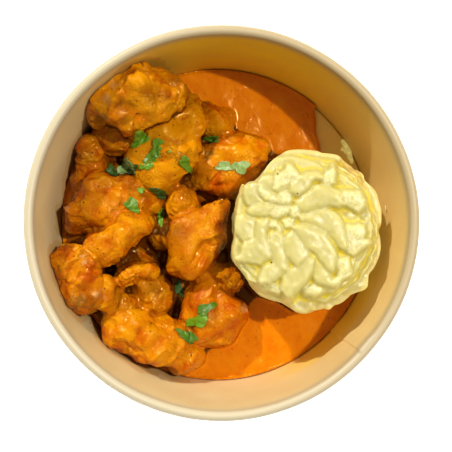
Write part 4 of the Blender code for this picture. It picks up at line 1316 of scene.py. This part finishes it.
def make_sauce(finish, heap, swirl, gaps, crest):
    """Sauce over the floor: its bed, rounded up to what stands in it, and thin and round at its own edge."""
    disc = disc_plan(SAUCE_STEPS)
    part = np.linalg.norm(disc, axis=-1)
    reach = shore_reach(np.arctan2(disc[..., 1], disc[..., 0]))
    plan = disc * reach[..., None]

    cells = np.arange(len(heap)) * CELL - HALF_SPAN
    everywhere = np.stack(np.meshgrid(cells, cells, indexing="ij"), axis=-1)
    wall = np.hypot(everywhere[..., 0], everywhere[..., 1]) > wall_inside(SAUCE_LEVEL) - WALL_GAP - 0.1
    bank = np.where(wall, SAUCE_LEVEL + WALL_CLIMB, np.minimum(swirl, SAUCE_LEVEL + MASH_CLIMB))
    bed = np.maximum(np.maximum(sauce_bed(everywhere), narrowed(heap, 2.0)), bank)
    climbed = rolled_over(bed, FILLET)
    level = read_map(climbed, plan * 0.996)
    level = np.where(read_map(swirl, plan) > SAUCE_LEVEL + 6, np.minimum(level, SAUCE_LEVEL + 1), level)

    at_shore = reach < wall_inside(SAUCE_LEVEL) - WALL_GAP - 0.3
    inward = (1 - part) * reach
    thin = np.sqrt(np.clip(1 - (1 - np.minimum(inward / SAUCE_EDGE, 1.0)) ** 2, 0.0, 1.0))
    low = FLOOR_TOP + FIT_GAP
    level = np.where(at_shore, low + (level - low) * (0.12 + 0.88 * thin), level)
    top = np.concatenate([plan, level[..., None]], axis=-1).reshape(-1, 3)
    points, faces = disc_skin(top, SAUCE_STEPS, 1.0, (0.0, 0.0, low))
    mesh = new_mesh("curry_sauce_pool", points, faces)
    tone = 0.5 + 0.1 * lumps(points, 8.0, 66)
    add_piece(
        "curry_sauce_pool", mesh, finish, "curry_sauce", "curry_sauce", tone=tone,
        deep=painted_shade_depth(points, gaps, crest), climb=smoothstep(0.4, 3.0, points[:, 2] - SAUCE_LEVEL),
    )
    return np.maximum(np.maximum(heap, climbed), swirl)


# --------------------------------------------------------------------------------------------------
# Coriander, splashes and crumbs
# --------------------------------------------------------------------------------------------------


def leaf_skin(leaf, seed, ground):
    """A leaf as rings round its middle: a lobed, toothed outline laid on the food, curled up at its edges."""
    x, y, long, wide, turn, _, curl = leaf
    seeded = np.random.default_rng(seed)
    first, second = seeded.uniform(0, 2 * np.pi, 2)
    around = np.linspace(0, 2 * np.pi, LEAF_SIDES, endpoint=False)[None]
    part = (np.arange(1, LEAF_RINGS + 1) / LEAF_RINGS)[:, None]
    lobes = 1 + 0.2 * np.cos(3 * around + first) + 0.1 * np.cos(5 * around + second)
    teeth = 1 + 0.07 * np.cos(17 * around)
    edge = lobes * (1 + (teeth - 1) * part**3)
    u = long * part * edge * np.cos(around)
    v = wide * part * edge * np.sin(around)
    ahead = np.radians(turn)
    plan = np.stack(
        [x + u * np.cos(ahead) - v * np.sin(ahead), y + u * np.sin(ahead) + v * np.cos(ahead)], axis=-1
    )
    middle = np.array([x, y])
    rest = read_map(ground, plan)
    curled = 0.5 * part**2 * (1 + np.cos(2 * around + second)) + 0.25 * np.cos(3 * around) * part
    lift = 0.25 + curl * curled
    vein = 0.18 * np.abs(v) / wide
    level = rest + np.maximum(lift + vein, 0.2)
    rings = np.concatenate([plan, level[..., None]], axis=-1)
    top = np.array([*middle, read_map(ground, middle) + 0.3])
    count = rings.shape[0] * rings.shape[1]
    index = np.arange(count).reshape(rings.shape[:2])
    ahead_index = np.roll(index, -1, axis=1)
    fan = np.stack([np.full(index.shape[1], count), index[0], ahead_index[0]], axis=-1)
    return np.vstack([rings.reshape(-1, 3), top[None]]), [grid_faces(index)[:, ::-1], fan]


def make_leaves(finish, ground):
    """All the leaves as one piece, each with its own shade, given a leaf's thickness."""
    skins = [leaf_skin(leaf, 70 + count, ground) for count, leaf in enumerate(LEAVES)]
    points, faces = joined(skins)
    shade = np.concatenate([np.full(len(skin[0]), leaf[5]) for skin, leaf in zip(skins, LEAVES)])
    mesh = new_mesh("coriander_leaves", points, faces)
    made = add_piece("coriander_leaves", mesh, finish, "curry_sauce", shade=shade)
    thick = made.modifiers.new("thickness", "SOLIDIFY")
    thick.thickness = LEAF_THICKNESS * MM
    thick.offset = 1.0


def wall_place(turn, height):
    """A place just off the wall's inner face, by direction in degrees and height."""
    return polar(wall_inside(height) - 0.3, np.radians(turn), height)


def blob(place, normal, long, wide, thick, turn, seed):
    """A lumpy drop: a sphere squeezed to its sizes, its short axis along the normal, unevenly swollen."""
    normal = np.asarray(normal) / np.linalg.norm(normal)
    side = np.cross(normal, (0.0, 0.0, 1.0) if abs(normal[2]) < 0.7 else (1.0, 0.0, 0.0))
    side /= np.linalg.norm(side)
    other = np.cross(normal, side)
    ahead, across = np.radians(turn), np.linspace(0, 2 * np.pi, 24, endpoint=False)[None]
    down = np.linspace(0, np.pi, 16)[1:-1, None]
    ball = polar(np.sin(down), across, np.cos(down))
    ball *= (1 + 0.22 * lumps(ball.reshape(-1, 3), 1.6, seed)).reshape(ball.shape[:2] + (1,))
    u, v, w = ball[..., :1] * long, ball[..., 1:2] * wide, ball[..., 2:] * thick
    first, second = u * np.cos(ahead) - v * np.sin(ahead), u * np.sin(ahead) + v * np.cos(ahead)
    rings = place + first * side + second * other + w * normal
    return closed_skin(rings[::-1], place - thick * normal, place + thick * normal)


def make_dirt(mash, sauce, swirl):
    """Crumbs of mash on the floor and wall, specks of sauce on the wall, and specks of spice on the mash."""
    up = np.array([0.0, 0.0, 1.0])
    crumbs = [blob(np.array(place), up, *sizes, 20 + k) for k, (place, *sizes) in enumerate(FLOOR_CRUMBS)]
    for turn, z, *sizes in WALL_CRUMBS:
        crumbs.append(blob(wall_place(turn, z), -wall_place(turn, 0.0), *sizes, turn, 5))
    points, faces = joined(crumbs)
    # The crumbs take the mash's paler torn colour and its full painted glow of thin edges.
    add_piece(
        "mash_crumbs", new_mesh("mash_crumbs", kept_inside(points), faces), mash, "mashed_potato",
        torn=np.ones(len(points)), thin=np.ones(len(points)),
    )
    specks = [
        blob(wall_place(turn, z), -wall_place(turn, 0.0), size, 0.8 * size, 0.3 * size, turn, 3)
        for turn, z, size in WALL_SPECKS
    ]
    on_mash = [np.array([x, y, read_map(swirl, np.array([x, y]))]) for x, y in MASH_SPECKS]
    spice = [blob(place, up, 0.32, 0.24, 0.2, 30.0, 9) for place in on_mash]
    points, faces = joined(specks + spice)
    each = len(points) // len(specks + spice)
    # The wall's sauce specks take none of the coat's darkening and the spice specks all of it, as their own
    # dark colour.
    deep = np.repeat([0.0, 1.0], [each * len(specks), each * len(spice)])
    add_piece("sauce_specks", new_mesh("sauce_specks", points, faces), sauce, "curry_sauce", deep=deep)


# --------------------------------------------------------------------------------------------------
# Stage
# --------------------------------------------------------------------------------------------------


def make_stage():
    """White floor of the studio, just under the bowl."""
    corners = np.array([(-1, -1, 0.0), (1, -1, 0.0), (1, 1, 0.0), (-1, 1, 0.0)]) * FLOOR_SPAN
    corners[:, 2] = -0.05
    mesh = new_mesh("studio_floor", corners, [np.array([[0, 1, 2, 3]])])
    mesh.materials.append(floor_material())
    made = bpy.data.objects.new("studio_floor", mesh)
    bpy.context.scene.collection.objects.link(made)


def aimed(eye, target):
    """Turn and place of a camera or a lamp at the eye that looks at the target, its top towards +Y."""
    back = (Vector(eye) - Vector(target)).normalized()
    right = Vector((0.0, 1.0, 0.0)).cross(back).normalized()
    top = back.cross(right)
    turned_to = Matrix((right, top, back)).transposed().to_4x4()
    return Matrix.Translation(Vector(eye) * MM) @ turned_to


def make_camera():
    """A camera high above the bowl, a little to the left of it."""
    camera = bpy.data.objects.new("camera", bpy.data.cameras.new("camera"))
    camera.data.sensor_width = 36.0
    camera.data.lens = LENS
    camera.data.clip_end = 20.0
    camera.matrix_world = aimed(CAMERA_AT, CAMERA_AIM)
    bpy.context.scene.collection.objects.link(camera)
    bpy.context.scene.camera = camera


def add_lamp(name, kind, direction, distance, **settings):
    """A lamp aimed at the bowl from a distance and a direction, degrees round from +X and up from the floor."""
    turn, height = np.radians(direction)
    lamp = bpy.data.lights.new(name, kind)
    for key, value in settings.items():
        setattr(lamp, key, value)
    made = bpy.data.objects.new(name, lamp)
    made.matrix_world = aimed(distance * polar(np.cos(height), turn, np.sin(height)), (0.0, 0.0, 0.0))
    bpy.context.scene.collection.objects.link(made)


def make_lights():
    """Two suns, high on the right and lower at the back left, panels for glints, and a soft white room."""
    for name, direction, strength, colour in (
        ("lamp_right", FROM_RIGHT, 2.0, (1.0, 0.96, 0.9)),
        ("lamp_back_left", FROM_BACK_LEFT, 2.45, (1.0, 0.96, 0.88)),
    ):
        add_lamp(name, "SUN", direction, 1000.0, energy=strength, angle=np.radians(LAMP_WIDTH), color=colour)
    for name, direction in (("panel_right", FROM_RIGHT), ("panel_back_left", PANEL_BACK_LEFT)):
        add_lamp(name, "AREA", direction, 2000.0, size=PANEL_SIDE * MM, energy=PANEL_POWER)
    world = bpy.data.worlds.new("room")
    world.use_nodes = True
    tree = world.node_tree
    wire(tree, tree.nodes["Background"], {"Color": (1.0, 0.95, 0.86, 1.0), "Strength": 0.34})
    bpy.context.scene.world = world
    bpy.context.scene.view_settings.view_transform = "Standard"


coat = curry_coat_group()
meat_shades = (0.42, 0.066, 0.0005), (0.60, 0.225, 0.001)
meat = coated_material("sauced_chicken_looks", coat, *meat_shades, 0.9, 0.6, meat_patches)
gravy = coated_material(
    "curry_sauce_looks", coat, (0.56, 0.118, 0.0004), (0.66, 0.20, 0.0006), 0.5, 0.1, banked=meat_shades
)

pieces = chicken_skins()
mash = mash_material()
swirl_points = make_mash(mash)
heap, swirl, gaps, crest = food_maps(np.concatenate([skin[0] for skin in pieces.values()]), swirl_points)
paper = paper_material()
make_wall(paper, heap)
make_floor(paper)
make_chicken(pieces, meat, gaps, crest)
food_map = make_sauce(gravy, heap, swirl, gaps, crest)
make_leaves(leaf_material(), food_map)
make_dirt(mash, gravy, swirl)
make_stage()
make_camera()
make_lights()
